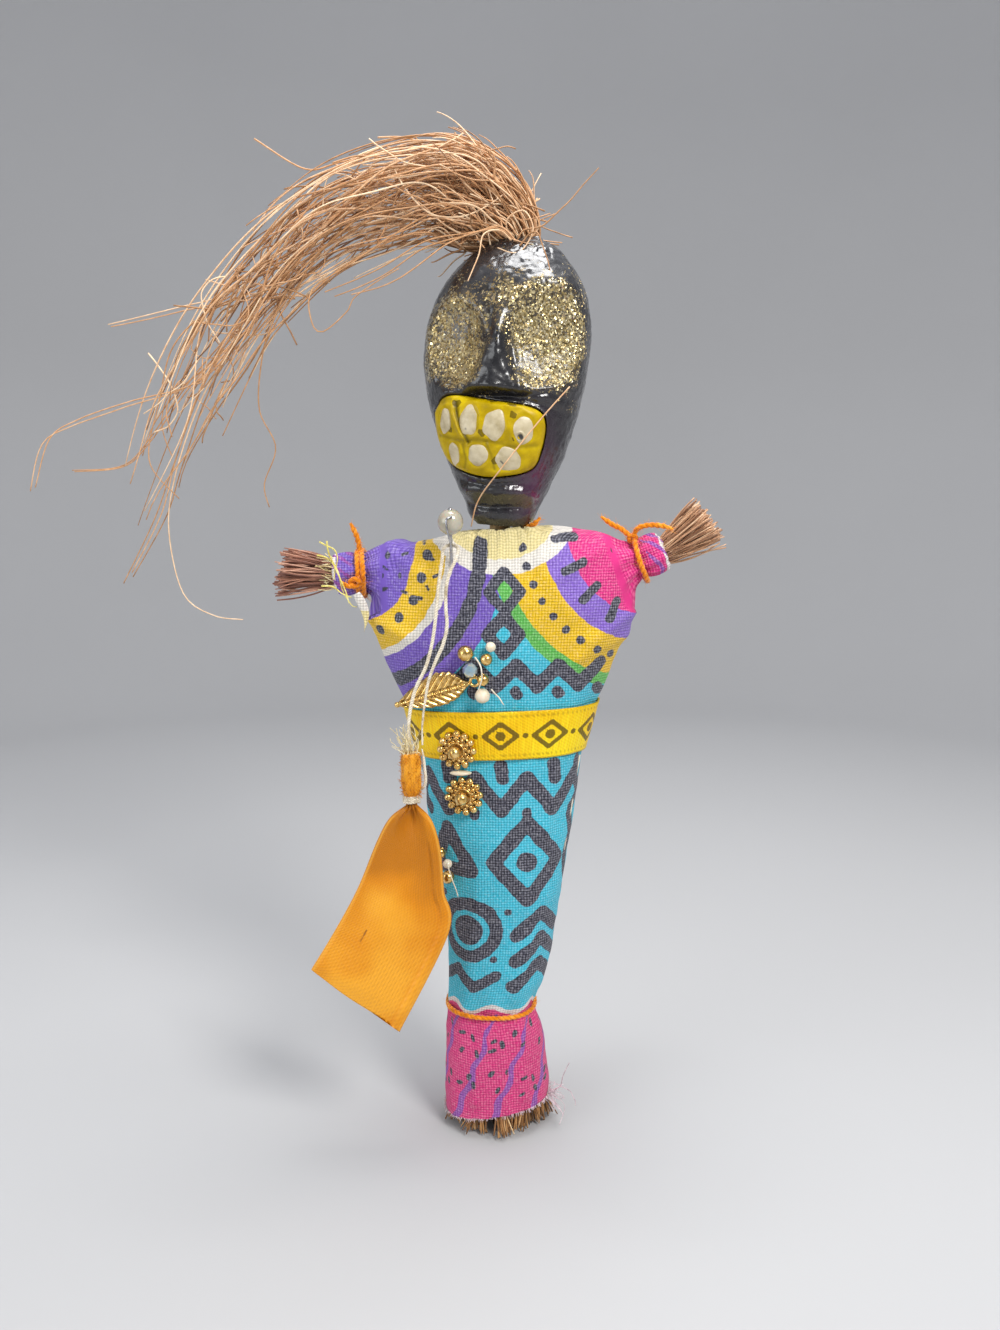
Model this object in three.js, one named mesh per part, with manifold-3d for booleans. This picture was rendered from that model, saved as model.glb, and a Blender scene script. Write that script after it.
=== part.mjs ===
// A small cloth doll on a core stick: a clay head with a bristle plume, a printed cloth body that is
// stuffed and tied, bristle hands and foot, a ribbon belt, a metal leaf, beads, two rosettes, and a
// ribbon pouch that hangs by a thread on a pearl-headed pin.
// Millimetres. +Z is up, the face looks along -Y, and the foot stands on z = 0.

import * as THREE from 'three';
import { mergeVertices } from 'three/addons/utils/BufferGeometryUtils.js';
import Module from 'manifold-3d';

const wasm = await Module();
wasm.setup();
const { Manifold } = wasm;

// Driving dimensions
const clearance = 0.3;
const clothWall = 0.6;
const hemHeight = 5.1;
const hemSlope = 0.16;
const ankleHeight = 26.1;
const beltHeight = 85;
const beltWidth = 9.5;
const beltThickness = 0.4;
const beltSlope = 0.03;
const beltLap = 0.45;
const chestHeight = 107.5;
const shoulderRise = 16.1;
const collarHeight = chestHeight + shoulderRise;
const shoulderSlope = 0.07;
const stickRadius = 2;
const stickDepthInHead = 16;
const yarnRadius = 0.6;
const knotRadius = 1.15;
const threadDiameter = 0.65;
const pinRadius = 0.3;
const pinReach = 6.6;
const pinBuried = 19;
const pearlRadius = 2.35;
const meshTolerance = 0.01;

// Stuffed outline, from under the hem to the collar: half width, half depth and middle at each height
const bodyRows = [
  { z: 2, wide: 10.9, deep: 8.7, mid: -0.6 },
  { z: 10, wide: 10.9, deep: 8.5, mid: -0.6 },
  { z: 21, wide: 9.9, deep: 7.9, mid: -1.3 },
  { z: ankleHeight, wide: 8.7, deep: 7.3, mid: -1.8 },
  { z: 33, wide: 9.9, deep: 8, mid: -0.6 },
  { z: 47, wide: 11.6, deep: 8.8, mid: 0.2 },
  { z: 65, wide: 14.3, deep: 9.6, mid: 0.2 },
  { z: beltHeight, wide: 17.4, deep: 10, mid: 0.1 },
  { z: beltHeight + (chestHeight - beltHeight) * 0.6, wide: 22.5, deep: 11.5, mid: 0 },
  { z: chestHeight, wide: 25.8, deep: 12, mid: 0.4 },
  { z: collarHeight - 10.6, wide: 25, deep: 11.5, mid: 0.5 },
  { z: collarHeight - 5.6, wide: 23.8, deep: 9.9, mid: 0.5 },
  { z: collarHeight - 2, wide: 19.6, deep: 7.8, mid: 0.5 },
  { z: collarHeight - 0.5, wide: 12.5, deep: 6.6, mid: 0.4 },
  { z: collarHeight, wide: 7.4, deep: 6, mid: 0.3 }
];
const bodyFullness = 0.87;
const clothColumns = 20;
const clothHeights = [2, 12, 20, ankleHeight, 31, 42, 58, 71, beltHeight - beltWidth / 2,
  beltHeight + beltWidth / 2, chestHeight - 7, chestHeight + 1.5, collarHeight - 8.6,
  collarHeight - 4.1, collarHeight - 1.4, collarHeight];
const shoulderHeights = [collarHeight - 6.1, collarHeight - 2.1];
const stuffingHeights = [31, 58, beltHeight - 1, chestHeight - 0.5, ...shoulderHeights];
const liningHeights = [2, 20, ankleHeight, ...stuffingHeights, collarHeight];
const stuffingColumns = 16;
const hemFolds = 6;
const hemFoldDepth = 0.4;

// Arms: middle of the tie, way the sleeve points, way the bristles point
const arms = {
  left: { tie: [-27, -0.5, collarHeight - 8.4], sleeve: [-1, -0.03, -0.03], bristles: [-1, -0.05, 0.02] },
  right: { tie: [27, -0.5, collarHeight - 5.8], sleeve: [0.94, -0.04, 0.33], bristles: [0.83, -0.08, 0.55] }
};
// Sleeve radius at each distance along the arm from its tie, minus is towards the body
const sleeveRows = [
  { z: -9, radius: 6.4 },
  { z: -4, radius: 5.4 },
  { z: -1.2, radius: 3.8 },
  { z: 0, radius: 3.5 },
  { z: 1.4, radius: 3.9 },
  { z: 3.2, radius: 4.1 },
  { z: 5.2, radius: 3.7 }
];
const sleeveSides = 10;
const armBundleLength = 17;
const armBundleRadius = 2.5;
const cuffBundleRadius = 2.75;
const handLength = 9.6;
const handSpread = 4.9;
const handStrands = 48;
const handStrandRadius = 0.27;

// Foot
const footPlugTop = 30;
const footPlugBottom = 9;
const footStrands = 128;
const footStrandRadius = 0.28;
const footSpread = 1.14;
const footTrim = 0.5;

// Head, in its own frame: the base is the origin, the face looks along -Y
const headBase = [0.3, -0.6, collarHeight + 0.75];
const headRoll = THREE.MathUtils.degToRad(4.6);
const headYaw = THREE.MathUtils.degToRad(12);
const headHeight = 53;
const headRows = [
  { z: 0, wide: 4.6, front: 4.3, back: 4, mid: 0 },
  { z: 1.2, wide: 5.9, front: 5.6, back: 4.8, mid: 0 },
  { z: 3.6, wide: 6.9, front: 6.8, back: 5.7, mid: -0.1 },
  { z: 9.4, wide: 9.6, front: 9.4, back: 7.4, mid: -0.4 },
  { z: 16, wide: 12.4, front: 11.4, back: 9.2, mid: -0.9 },
  { z: 23, wide: 14.4, front: 11.9, back: 10.9, mid: -1.4 },
  { z: 31, wide: 15.5, front: 11.9, back: 11.8, mid: -1.6 },
  { z: 38.4, wide: 15, front: 11.3, back: 11.8, mid: -1.3 },
  { z: 44, wide: 12.8, front: 9.8, back: 10.4, mid: -0.7 },
  { z: 48.5, wide: 9.4, front: 7.4, back: 7.9, mid: -0.3 },
  { z: 51.5, wide: 5.6, front: 4.5, back: 4.8, mid: 0 },
  { z: headHeight, wide: 1.6, front: 1.4, back: 1.4, mid: 0 }
];
const faceColumns = 22;
const napeColumns = 8;
const headLayers = 27;
const sockets = [
  { x: -8.9, z: 31.6, wide: 5.6, tall: 7.4 },
  { x: 7.2, z: 33.8, wide: 6.7, tall: 8.8 }
];
const socketDepth = 1.9;
const socketRim = 0.5;
const nose = { x: -1, top: 37, base: 24.4, height: 2.5, wide: 4.3 };

// Mouth: outline in the head's frame, and how far its slab stands out of and sits in the head
const mouthOutline = [[-12.4, 19.6], [-10.9, 22.1], [-7, 22.7], [-1, 22.1], [6.4, 21.3], [8.4, 19],
  [8, 14.4], [6.2, 10.6], [0.4, 8.9], [-4.4, 9.1], [-9.2, 11], [-11.7, 14.8]];
const mouthProud = 0.9;
const mouthSunk = 1.4;
const toothDepth = 0.75;
const teeth = [
  { x: -9.6, z: 18.1, wide: 1.25, tall: 2.3 },
  { x: -4.8, z: 18.3, wide: 1.75, tall: 2.7 },
  { x: -0.1, z: 17.8, wide: 2.1, tall: 2.7 },
  { x: 5.2, z: 17.4, wide: 1.8, tall: 2.5 },
  { x: -7.7, z: 12.4, wide: 1.25, tall: 2.1 },
  { x: -2.9, z: 12.4, wide: 2, tall: 1.9 },
  { x: 2.7, z: 12, wide: 2.4, tall: 2.1 }
];

// Hair: the middle line of the plume above the collar, and its half thickness at each share of its length
const plumeLine = [[5.4, 0.4, 49.8], [2.4, 0, 55.2], [-4, -0.8, 59.4], [-14, -2, 61.2],
  [-29.5, -4, 56], [-43.5, -6, 43.6], [-53, -7.2, 29.4], [-60, -8, 13.6], [-66.5, -8.6, -5]];
const plumeRows = [
  { z: 0, half: 3.4 },
  { z: 0.08, half: 3.9 },
  { z: 0.28, half: 7.8 },
  { z: 0.6, half: 7.6 },
  { z: 1, half: 11 }
];
const plumeFlatness = 0.8;
const plumePlugShare = 0.035;
const hairStrands = 76;
const hairStations = [0.06, 0.15, 0.3, 0.54, 1];
const hairRootRadius = 0.17;
const hairMiddleRadius = 0.32;
const shortestHair = 0.5;
const hairThinning = 1.7;

// Trim sewn on the front: places are the x of each middle and its height above or below the belt's
const beads = [
  { name: 'gold_bead_large', x: -6.2, z: 16.4, radius: 1.5, colour: 'gold' },
  { name: 'gold_bead_upper', x: -2.5, z: 15.2, radius: 1.15, colour: 'gold' },
  { name: 'cream_bead_upper', x: -1.7, z: 17.5, radius: 0.95, colour: 'cream' },
  { name: 'glass_bead', x: -5.4, z: 13.2, radius: 1.4, colour: 'glass' },
  { name: 'gold_bead_lower', x: -3.1, z: 11.4, radius: 1.15, colour: 'gold' },
  { name: 'cream_bead_middle', x: -3.2, z: 8.4, radius: 1.4, colour: 'cream' },
  { name: 'gold_bead_side', x: -10.8, z: -24, radius: 1.1, colour: 'gold' },
  { name: 'cream_bead_low', x: -9.6, z: -26.1, radius: 0.9, colour: 'cream' },
  { name: 'gold_bead_low', x: -9.3, z: -28.7, radius: 1.3, colour: 'gold' }
];
const leafTip = { x: -19.3, y: -10.4, z: 6.1 };
const leafStem = { x: -5.6, y: -12.4, z: 10.6 };
const leafHalfWidth = 2.9;
const leafThickness = 0.7;
const leafStations = 14;
const leafVein = 0.22;
const rosetteRadius = 3.2;
const granuleRadius = 0.58;
const granules = 12;
const rosetteThickness = 0.6;
const rosetteHoleRadius = 0.3;
const studRadius = 1.25;
const rosettes = [
  { name: 'rosette_upper', x: -7.8, z: -2.5, overBelt: true },
  { name: 'rosette_lower', x: -6.7, z: -11.9, overBelt: false }
];
const discBead = { x: -7.2, z: -7.2, wide: 2.1, tall: 0.5, deep: 1 };

// Pin: where it enters the cloth, and the way from its point to its pearl
const pinEntry = { x: -9, z: collarHeight - 6.9 };
const pinWay = new THREE.Vector3(0, -0.3, 0.95).normalize();

// Thread: from over the pouch's neck up the left side, behind the pin and down the right side
const threadRoute = [[-16.9, -17.2, 84.9], [-16.7, -17.6, 87.8], [-16.4, -17.2, 91],
  [-15.4, -16.6, 95.1], [-13.5, -16, 99.2], [-12.4, -15.6, 103.2], [-11.8, -15.3, 107],
  [-11.4, -14.8, 111], [-11, -13.9, 115], [-10.5, -12.6, 118.6], [-10.3, -11.4, 120.4],
  [-9, -9.95, 121], [-7.7, -11.4, 120.5], [-8, -12.9, 118.6], [-9.1, -14, 116.2],
  [-9.7, -14.7, 113.6], [-9.8, -15.4, 110], [-9.6, -15.8, 106.6], [-10.3, -16.2, 103.4],
  [-11.7, -16.3, 100.2], [-13, -16.4, 96.6], [-13.7, -16.6, 92.6], [-14.2, -17, 88.4],
  [-14.2, -17.2, 84.9]];
const threadSteps = 54;
const threadSeat = 4.2;

// Pouch: the folded ribbon, with its left and right edge as x and drop below its tie
const pouchTieHeight = 74.3;
const pouchHinge = 84.4;
const pouchNeckTop = pouchHinge - 1;
const pouchNeckRadius = 1.8;
const pouchTieRadius = 0.95;
const pouchMiddle = -16.35;
const pouchDepth = -16.9;
const pouchLeft = [[-17.4, 0.9], [-20.5, 3.3], [-23, 7.9], [-26.8, 17.1], [-31.3, 25.5], [-36, 33.3]];
const pouchRight = [[-15.3, 0.9], [-12.6, 3.7], [-11, 9.5], [-10.4, 17.5], [-9.6, 25.8], [-19.2, 45.9]];
const pouchHalfThickness = 0.55;
const pouchRipple = 0.35;
const pouchRows = 7;
const pouchColumns = 7;

// Colours and finishes
const finishes = {
  clay: [0x17171a, 0.28, 0],
  mouth: [0xc2b417, 0.55, 0],
  tooth: [0xd9cfae, 0.5, 0],
  bristle: [0x8a5a3c, 0.7, 0],
  wood: [0xb08a5a, 0.7, 0],
  cloth: [0x22a8c4, 0.9, 0],
  wadding: [0xe6e2d6, 0.95, 0],
  yarn: [0xe8860f, 0.9, 0],
  belt: [0xd9a514, 0.35, 0],
  gold: [0xc9982f, 0.28, 0.9],
  cream: [0xe9dcc3, 0.5, 0],
  glass: [0xa9ccd8, 0.1, 0],
  steel: [0xb9b9bd, 0.25, 1],
  pearl: [0xe4ddcf, 0.22, 0],
  thread: [0xece0c8, 0.85, 0],
  pouch: [0xf29a1b, 0.4, 0]
};

// Common helpers

function smooth(from, to, value) {
  return THREE.MathUtils.smoothstep(value, from, to);
}

function bulge(value, fullness) {
  return Math.sign(value) * Math.abs(value) ** fullness;
}

// A value read from a list of rows at any height, with smooth bends at the rows
function through(rows, key, z) {
  let i = 0;
  while (i < rows.length - 2 && rows[i + 1].z < z) {
    i += 1;
  }
  const low = rows[i];
  const high = rows[i + 1];
  const before = rows[Math.max(i - 1, 0)];
  const after = rows[Math.min(i + 2, rows.length - 1)];
  const span = high.z - low.z;
  const t = THREE.MathUtils.clamp((z - low.z) / span, 0, 1);
  const leave = (high[key] - before[key]) / (high.z - before.z) * span;
  const arrive = (after[key] - low[key]) / (after.z - low.z) * span;
  const t2 = t * t;
  const t3 = t2 * t;
  return low[key] * (2 * t3 - 3 * t2 + 1) + leave * (t3 - 2 * t2 + t)
    + high[key] * (3 * t2 - 2 * t3) + arrive * (t3 - t2);
}

function solidOf(vertProperties, triVerts) {
  return new Manifold(new wasm.Mesh({
    numProp: 3,
    vertProperties: new Float32Array(vertProperties),
    triVerts: new Uint32Array(triVerts)
  }));
}

function toSolid(geometry) {
  const plain = geometry.clone();
  plain.deleteAttribute('normal');
  plain.deleteAttribute('uv');
  const merged = mergeVertices(plain, 1e-4);
  return solidOf(merged.attributes.position.array, merged.index.array);
}

function toGeometry(solid) {
  const mesh = solid.simplify(meshTolerance).getMesh();
  const geometry = new THREE.BufferGeometry();
  geometry.setAttribute('position', new THREE.BufferAttribute(mesh.vertProperties, 3));
  geometry.setIndex(new THREE.BufferAttribute(mesh.triVerts, 1));
  geometry.computeVertexNormals();
  return geometry;
}

function centreOf(ring) {
  const sum = ring.reduce((total, point) => total.add(point), new THREE.Vector3());
  return sum.multiplyScalar(1 / ring.length);
}

// Closed solid through rings that turn right-handed about the way they advance
function loft(rings) {
  const count = rings[0].length;
  const points = [...rings.flat(), centreOf(rings[0]), centreOf(rings[rings.length - 1])];
  const faces = [];
  const first = rings.length * count;
  if (count === 3) {
    const top = first - count;
    points.length = first;
    faces.push(0, 2, 1, top, top + 1, top + 2);
  }
  for (let j = 0; j < count; j += 1) {
    const next = (j + 1) % count;
    const top = (rings.length - 1) * count;
    for (let i = 0; i < rings.length - 1; i += 1) {
      const low = i * count;
      const high = low + count;
      faces.push(low + j, low + next, high + next, low + j, high + next, high + j);
    }
    if (count > 3) {
      faces.push(first, next, j, first + 1, top + j, top + next);
    }
  }
  return solidOf(points.flatMap((point) => point.toArray()), faces);
}

// Ring of points round a middle, facing a way, with its own two half widths
function ringAt(middle, way, across, along, sides) {
  const depth = new THREE.Vector3(0, 1, 0).addScaledVector(way, -way.y).normalize();
  const breadth = new THREE.Vector3().crossVectors(depth, way);
  return Array.from({ length: sides }, (_, j) => {
    const angle = j / sides * 2 * Math.PI;
    return middle.clone().addScaledVector(breadth, across * Math.cos(angle))
      .addScaledVector(depth, along * Math.sin(angle));
  });
}

// Closed yarn loop through points that go round an axis
function closedYarn(points, axis, radius, sides) {
  const count = points.length;
  const vertices = [];
  const faces = [];
  points.forEach((point, i) => {
    const way = points[(i + 1) % count].clone().sub(points[(i + count - 1) % count]).normalize();
    const out = new THREE.Vector3().crossVectors(way, axis).normalize();
    const up = new THREE.Vector3().crossVectors(out, way);
    for (let j = 0; j < sides; j += 1) {
      const angle = j / sides * 2 * Math.PI;
      const corner = point.clone().addScaledVector(out, radius * Math.cos(angle))
        .addScaledVector(up, radius * Math.sin(angle));
      vertices.push(...corner.toArray());
      const next = (j + 1) % sides;
      const low = i * sides;
      const high = (i + 1) % count * sides;
      faces.push(low + j, high + next, low + next, low + j, high + j, high + next);
    }
  });
  return solidOf(vertices, faces);
}

// Round strand of yarn or thread along a smooth line
function cordGeometry(points, radius, steps, sides) {
  const section = new THREE.Shape(Array.from({ length: sides }, (_, j) => {
    const angle = j / sides * 2 * Math.PI;
    return new THREE.Vector2(radius * Math.cos(angle), radius * Math.sin(angle));
  }));
  const line = new THREE.CatmullRomCurve3(points, false, 'centripetal');
  return new THREE.ExtrudeGeometry(section, { steps, extrudePath: line });
}

function ball(radius, middle, sides, layers) {
  const geometry = new THREE.SphereGeometry(radius, sides, layers);
  geometry.translate(middle.x, middle.y, middle.z);
  return toSolid(geometry);
}

// Straight round bar between two points
function bar(from, to, radius, sides) {
  const way = to.clone().sub(from).normalize();
  return loft([ringAt(from, way, radius, radius, sides), ringAt(to, way, radius, radius, sides)]);
}

// Spots spread evenly over a disc of radius 1, as seeds on a flower head
function seeds(count, innerShare) {
  const golden = Math.PI * (3 - Math.sqrt(5));
  return Array.from({ length: count }, (_, i) => {
    const share = (i + 0.5) / count;
    const radius = Math.sqrt(innerShare ** 2 + (1 - innerShare ** 2) * share);
    return { u: radius * Math.cos(i * golden), v: radius * Math.sin(i * golden), radius, i };
  });
}

// Even spread of numbers from 0 to 1 that looks random
function scatter(i) {
  return (i * 0.6180339887) % 1;
}

// Three-sided strand through points, thick as told, ending in a point or in a flat end
function strand(points, radii) {
  const rings = points.map((point, i) => {
    const from = points[Math.max(i - 1, 0)];
    const to = points[Math.min(i + 1, points.length - 1)];
    return ringAt(point, to.clone().sub(from).normalize(), radii[i], radii[i], 3);
  });
  return loft(rings);
}

// Body

// How far each height of the shoulders drops towards the left
function shoulderLean(z) {
  return shoulderSlope * smooth(beltHeight + beltWidth, chestHeight + beltWidth, z);
}

function hemFold(angle, z) {
  return hemFoldDepth * smooth(ankleHeight, hemHeight, z) * Math.cos(hemFolds * angle);
}

// Point on the cloth, or inside it by an inset, which also lowers the shoulders' top
function bodyPoint(z, angle, inset) {
  const wide = through(bodyRows, 'wide', z) - inset + hemFold(angle, z);
  const deep = through(bodyRows, 'deep', z) - inset + hemFold(angle, z);
  const x = wide * bulge(Math.cos(angle), bodyFullness);
  const y = deep * bulge(Math.sin(angle), bodyFullness);
  const drop = inset * smooth(chestHeight, collarHeight, z);
  return new THREE.Vector3(x + through(bodyRows, 'mid', z), y, z + shoulderLean(z) * x - drop);
}

// Front of the cloth, as y, at a place on the chest or belly
function bodyFront(x, z) {
  let row = z;
  for (let i = 0; i < 4; i += 1) {
    row = z - shoulderLean(row) * (x - through(bodyRows, 'mid', row));
  }
  const share = Math.abs(x - through(bodyRows, 'mid', row)) / through(bodyRows, 'wide', row);
  const power = 2 / bodyFullness;
  return -through(bodyRows, 'deep', row) * (1 - Math.min(share, 1) ** power) ** (1 / power);
}

// Place over the cloth's front at a height from the belt, lifted outwards, and the turn that faces it out.
// A wide piece bears on the cloth, or on the belt, at the two heights of its span
function seatOnCloth(x, heightFromBelt, lift, span = [heightFromBelt - 0.5, heightFromBelt + 0.5]) {
  const z = beltHeight + heightFromBelt;
  const step = 0.5;
  const slopeX = (bodyFront(x + step, z) - bodyFront(x - step, z)) / (2 * step);
  const [low, high] = span.map((height) => bodyFront(x, beltHeight + height));
  const slopeZ = (high - low) / (span[1] - span[0]);
  const out = new THREE.Vector3(slopeX, -1, slopeZ).normalize();
  const front = Math.min(bodyFront(x, z), low + slopeZ * (heightFromBelt - span[0]));
  const middle = new THREE.Vector3(x, front, z).addScaledVector(out, lift);
  return { middle, turn: new THREE.Quaternion().setFromUnitVectors(new THREE.Vector3(0, 0, 1), out) };
}

function bodyLoft(heights, columns, inset) {
  return loft(heights.map((z) => Array.from({ length: columns }, (_, j) => {
    return bodyPoint(z, j / columns * 2 * Math.PI, inset);
  })));
}

function armPoint(arm, distance) {
  const way = new THREE.Vector3(...arm.sleeve).normalize();
  return new THREE.Vector3(...arm.tie).addScaledVector(way, distance);
}

function sleeveLoft(arm, inset, extra) {
  const way = new THREE.Vector3(...arm.sleeve).normalize();
  const last = sleeveRows.length - 1;
  return loft(sleeveRows.map((row, i) => {
    const radius = row.radius - inset;
    const distance = row.z + (i === last ? extra : 0);
    return ringAt(armPoint(arm, distance), way, radius, radius, sleeveSides);
  }));
}

const cuffEnd = sleeveRows[sleeveRows.length - 1].z;
const tieRow = sleeveRows.find((row) => row.z === 0);
const stickTop = headBase[2] + stickDepthInHead;
const neckHoleRadius = stickRadius + 2 * clearance + 2 * yarnRadius;
const neckTieHeight = collarHeight - clearance - yarnRadius;

function stickHole(bottom, top) {
  const from = new THREE.Vector3(0, 0, bottom);
  const to = new THREE.Vector3(0, 0, top);
  return bar(from, to, stickRadius + clearance, 12);
}

function makeBodyCloth() {
  const outside = Manifold.union([bodyLoft(clothHeights, clothColumns, 0),
    sleeveLoft(arms.left, 0, 0), sleeveLoft(arms.right, 0, 0)]);
  const inside = Manifold.union([bodyLoft(liningHeights, clothColumns, clothWall),
    sleeveLoft(arms.left, clothWall, 1), sleeveLoft(arms.right, clothWall, 1)]);
  const neckHole = bar(new THREE.Vector3(0, 0, chestHeight), new THREE.Vector3(0, 0, headHeight * 3),
    neckHoleRadius, 14);
  const shell = outside.subtract(inside).subtract(neckHole).subtract(pinChannel());
  const slant = Math.hypot(hemSlope, 1);
  return shell.trimByPlane([-hemSlope / slant, 0, 1 / slant], hemHeight / slant);
}

function makeStuffing() {
  const heights = [footPlugTop + clearance, ...stuffingHeights];
  const filling = bodyLoft(heights, stuffingColumns, clothWall + 2 * clearance);
  return filling.subtract(stickHole(0, headHeight * 3)).subtract(pinChannel())
    .subtract(armPlug(arms.left, clearance)).subtract(armPlug(arms.right, clearance));
}

// Bundles of bristles

function armPlug(arm, extra) {
  const way = new THREE.Vector3(...arm.sleeve).normalize();
  const rows = [[-armBundleLength - extra, armBundleRadius], [0, armBundleRadius],
    [cuffEnd - 1, cuffBundleRadius]];
  return loft(rows.map(([distance, radius]) => {
    return ringAt(armPoint(arm, distance), way, radius + extra, radius + extra, 12);
  }));
}

function makeArmBundle(arm) {
  const sleeveWay = new THREE.Vector3(...arm.sleeve).normalize();
  const way = new THREE.Vector3(...arm.bristles).normalize();
  const start = armPoint(arm, cuffEnd - 1 - handStrandRadius);
  const bend = armPoint(arm, cuffEnd + 1);
  const reach = cuffBundleRadius - handStrandRadius * 1.4;
  const depth = new THREE.Vector3(0, 1, 0);
  const strands = seeds(handStrands, 0).map((seed) => {
    const length = handLength * (0.82 + 0.28 * scatter(seed.i));
    const end = bend.clone().addScaledVector(way, length);
    const across = (middle, direction, size) => {
      const breadth = new THREE.Vector3().crossVectors(depth, direction).normalize();
      return middle.clone().addScaledVector(breadth, seed.u * size).addScaledVector(depth, seed.v * size);
    };
    return strand([across(start, sleeveWay, reach), across(end, way, handSpread)],
      [handStrandRadius, handStrandRadius]);
  });
  return Manifold.union([armPlug(arm, 0), ...strands]);
}

function makeFootBrush() {
  const inset = clothWall + 2 * clearance + hemFoldDepth;
  const section = (z, share) => Array.from({ length: 16 }, (_, j) => {
    const angle = j / 16 * 2 * Math.PI;
    const x = (through(bodyRows, 'wide', z) - inset) * share * Math.cos(angle);
    const y = (through(bodyRows, 'deep', z) - inset) * share * Math.sin(angle);
    return new THREE.Vector3(x + through(bodyRows, 'mid', z), y, z);
  });
  const plug = loft([footPlugBottom, ankleHeight - 4, ankleHeight, footPlugTop].map((z) => section(z, 1)));
  const rootShare = 0.94;
  const place = (seed, z, share) => {
    const x = (through(bodyRows, 'wide', footPlugBottom) - inset) * share * seed.u;
    const y = (through(bodyRows, 'deep', footPlugBottom) - inset) * share * seed.v;
    return new THREE.Vector3(x + through(bodyRows, 'mid', footPlugBottom), y, z);
  };
  const stickShare = (stickRadius + clearance + 2 * footStrandRadius)
    / (through(bodyRows, 'deep', footPlugBottom) - inset) / rootShare;
  const strands = seeds(footStrands, stickShare * 1.12).map((seed) => {
    return strand([place(seed, footPlugBottom + footTrim, rootShare), place(seed, -footTrim, footSpread)],
      [footStrandRadius, footStrandRadius]);
  });
  return Manifold.union([plug, ...strands]).subtract(stickHole(-footTrim * 4, footPlugTop * 2))
    .trimByPlane([0, 0, 1], 0);
}

const plumePoints = plumeLine.map(([x, y, z]) => new THREE.Vector3(x, y, collarHeight + z));
const plumeCurve = new THREE.CatmullRomCurve3(plumePoints, false, 'centripetal');

function plumePoint(share, seed) {
  const way = plumeCurve.getTangentAt(share);
  const middle = plumeCurve.getPointAt(share);
  const depth = new THREE.Vector3(0, 1, 0).addScaledVector(way, -way.y).normalize();
  const breadth = new THREE.Vector3().crossVectors(depth, way);
  const half = through(plumeRows, 'half', share);
  const dense = THREE.MathUtils.lerp(1, seed.radius ** 0.6, smooth(0.3, 1, share));
  return middle.addScaledVector(breadth, seed.u * half * dense)
    .addScaledVector(depth, seed.v * half * dense * plumeFlatness);
}

function plumePlug(extra) {
  const shares = [0, plumePlugShare, plumePlugShare * 2];
  return loft(shares.map((share) => {
    const way = plumeCurve.getTangentAt(share);
    const half = through(plumeRows, 'half', share) + extra;
    return ringAt(plumeCurve.getPointAt(share), way, half, half * plumeFlatness + extra, 14);
  }));
}

function makeHairPlume() {
  const strands = seeds(hairStrands, 0).map((seed) => {
    const inner = { ...seed, u: seed.u * 0.92, v: seed.v * 0.9 };
    const length = shortestHair + (1 - shortestHair) * scatter(seed.i) ** hairThinning;
    const stops = hairStations.filter((share) => share < length);
    const points = stops.map((share) => plumePoint(share, inner));
    const low = stops[stops.length - 1];
    const high = hairStations[stops.length];
    points.push(points[points.length - 1].clone()
      .lerp(plumePoint(high, inner), (length - low) / (high - low)));
    return strand(points, points.map((_, k) => (k === 0 ? hairRootRadius : hairMiddleRadius)));
  });
  return Manifold.union([plumePlug(0), ...strands]);
}

// Head

function faceRelief(x, z) {
  let relief = 0;
  for (const socket of sockets) {
    const q = Math.hypot((x - socket.x) / socket.wide, (z - socket.z) / socket.tall);
    relief -= q < 1 ? socketDepth * (1 - q * q) : 0;
    relief += socketRim * Math.exp(-(((q - 1.12) / 0.16) ** 2));
  }
  const down = THREE.MathUtils.clamp((nose.top - z) / (nose.top - nose.base), 0, 1);
  const noseHalf = THREE.MathUtils.lerp(1.2, nose.wide, down * down);
  const noseEnd = smooth(nose.base - 1.4, nose.base + 0.2, z) * (1 - smooth(nose.top, nose.top + 5, z));
  relief += nose.height * (0.35 + 0.65 * down) * noseEnd * Math.exp(-(((x - nose.x) / noseHalf) ** 2));
  const crease = nose.base - 1.6 - 0.012 * (x + 1) ** 2;
  relief -= 0.8 * Math.exp(-(((z - crease) / 0.9) ** 2));
  const muzzle = ((x + 2) / 11.5) ** 2 + ((z - 15.5) / 7.5) ** 2;
  relief += 0.9 * Math.exp(-(muzzle ** 2));
  relief += 1 * Math.exp(-(((z - 6.4) / 1.3) ** 2)) - 0.5 * Math.exp(-(((z - 3.6) / 1) ** 2));
  relief += 0.7 * Math.exp(-(((z - 43.5) / 3.4) ** 2));
  return relief;
}

function headPoint(z, angle, swell) {
  const front = Math.sin(angle) < 0;
  const x = (through(headRows, 'wide', z) + swell) * bulge(Math.cos(angle), front ? 0.9 : 1);
  const deep = through(headRows, front ? 'front' : 'back', z) + swell;
  const y = deep * bulge(Math.sin(angle), front ? 0.82 : 0.95);
  const across = x + through(headRows, 'mid', z);
  const relief = front ? faceRelief(across, z) * Math.min(1, -1.6 * Math.sin(angle)) : 0;
  return new THREE.Vector3(across, y - relief, z);
}

function headSolid(swell) {
  const rings = Array.from({ length: headLayers + 1 }, (_, i) => {
    const share = i / headLayers;
    const z = headHeight * (share + 0.045 * Math.sin(2 * Math.PI * share) * -1);
    const angles = [];
    for (let j = 0; j < napeColumns; j += 1) {
      angles.push(j / napeColumns * Math.PI);
    }
    for (let j = 0; j < faceColumns; j += 1) {
      angles.push(Math.PI + j / faceColumns * Math.PI);
    }
    return angles.map((angle) => headPoint(z, angle, swell));
  });
  return loft(rings);
}

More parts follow.
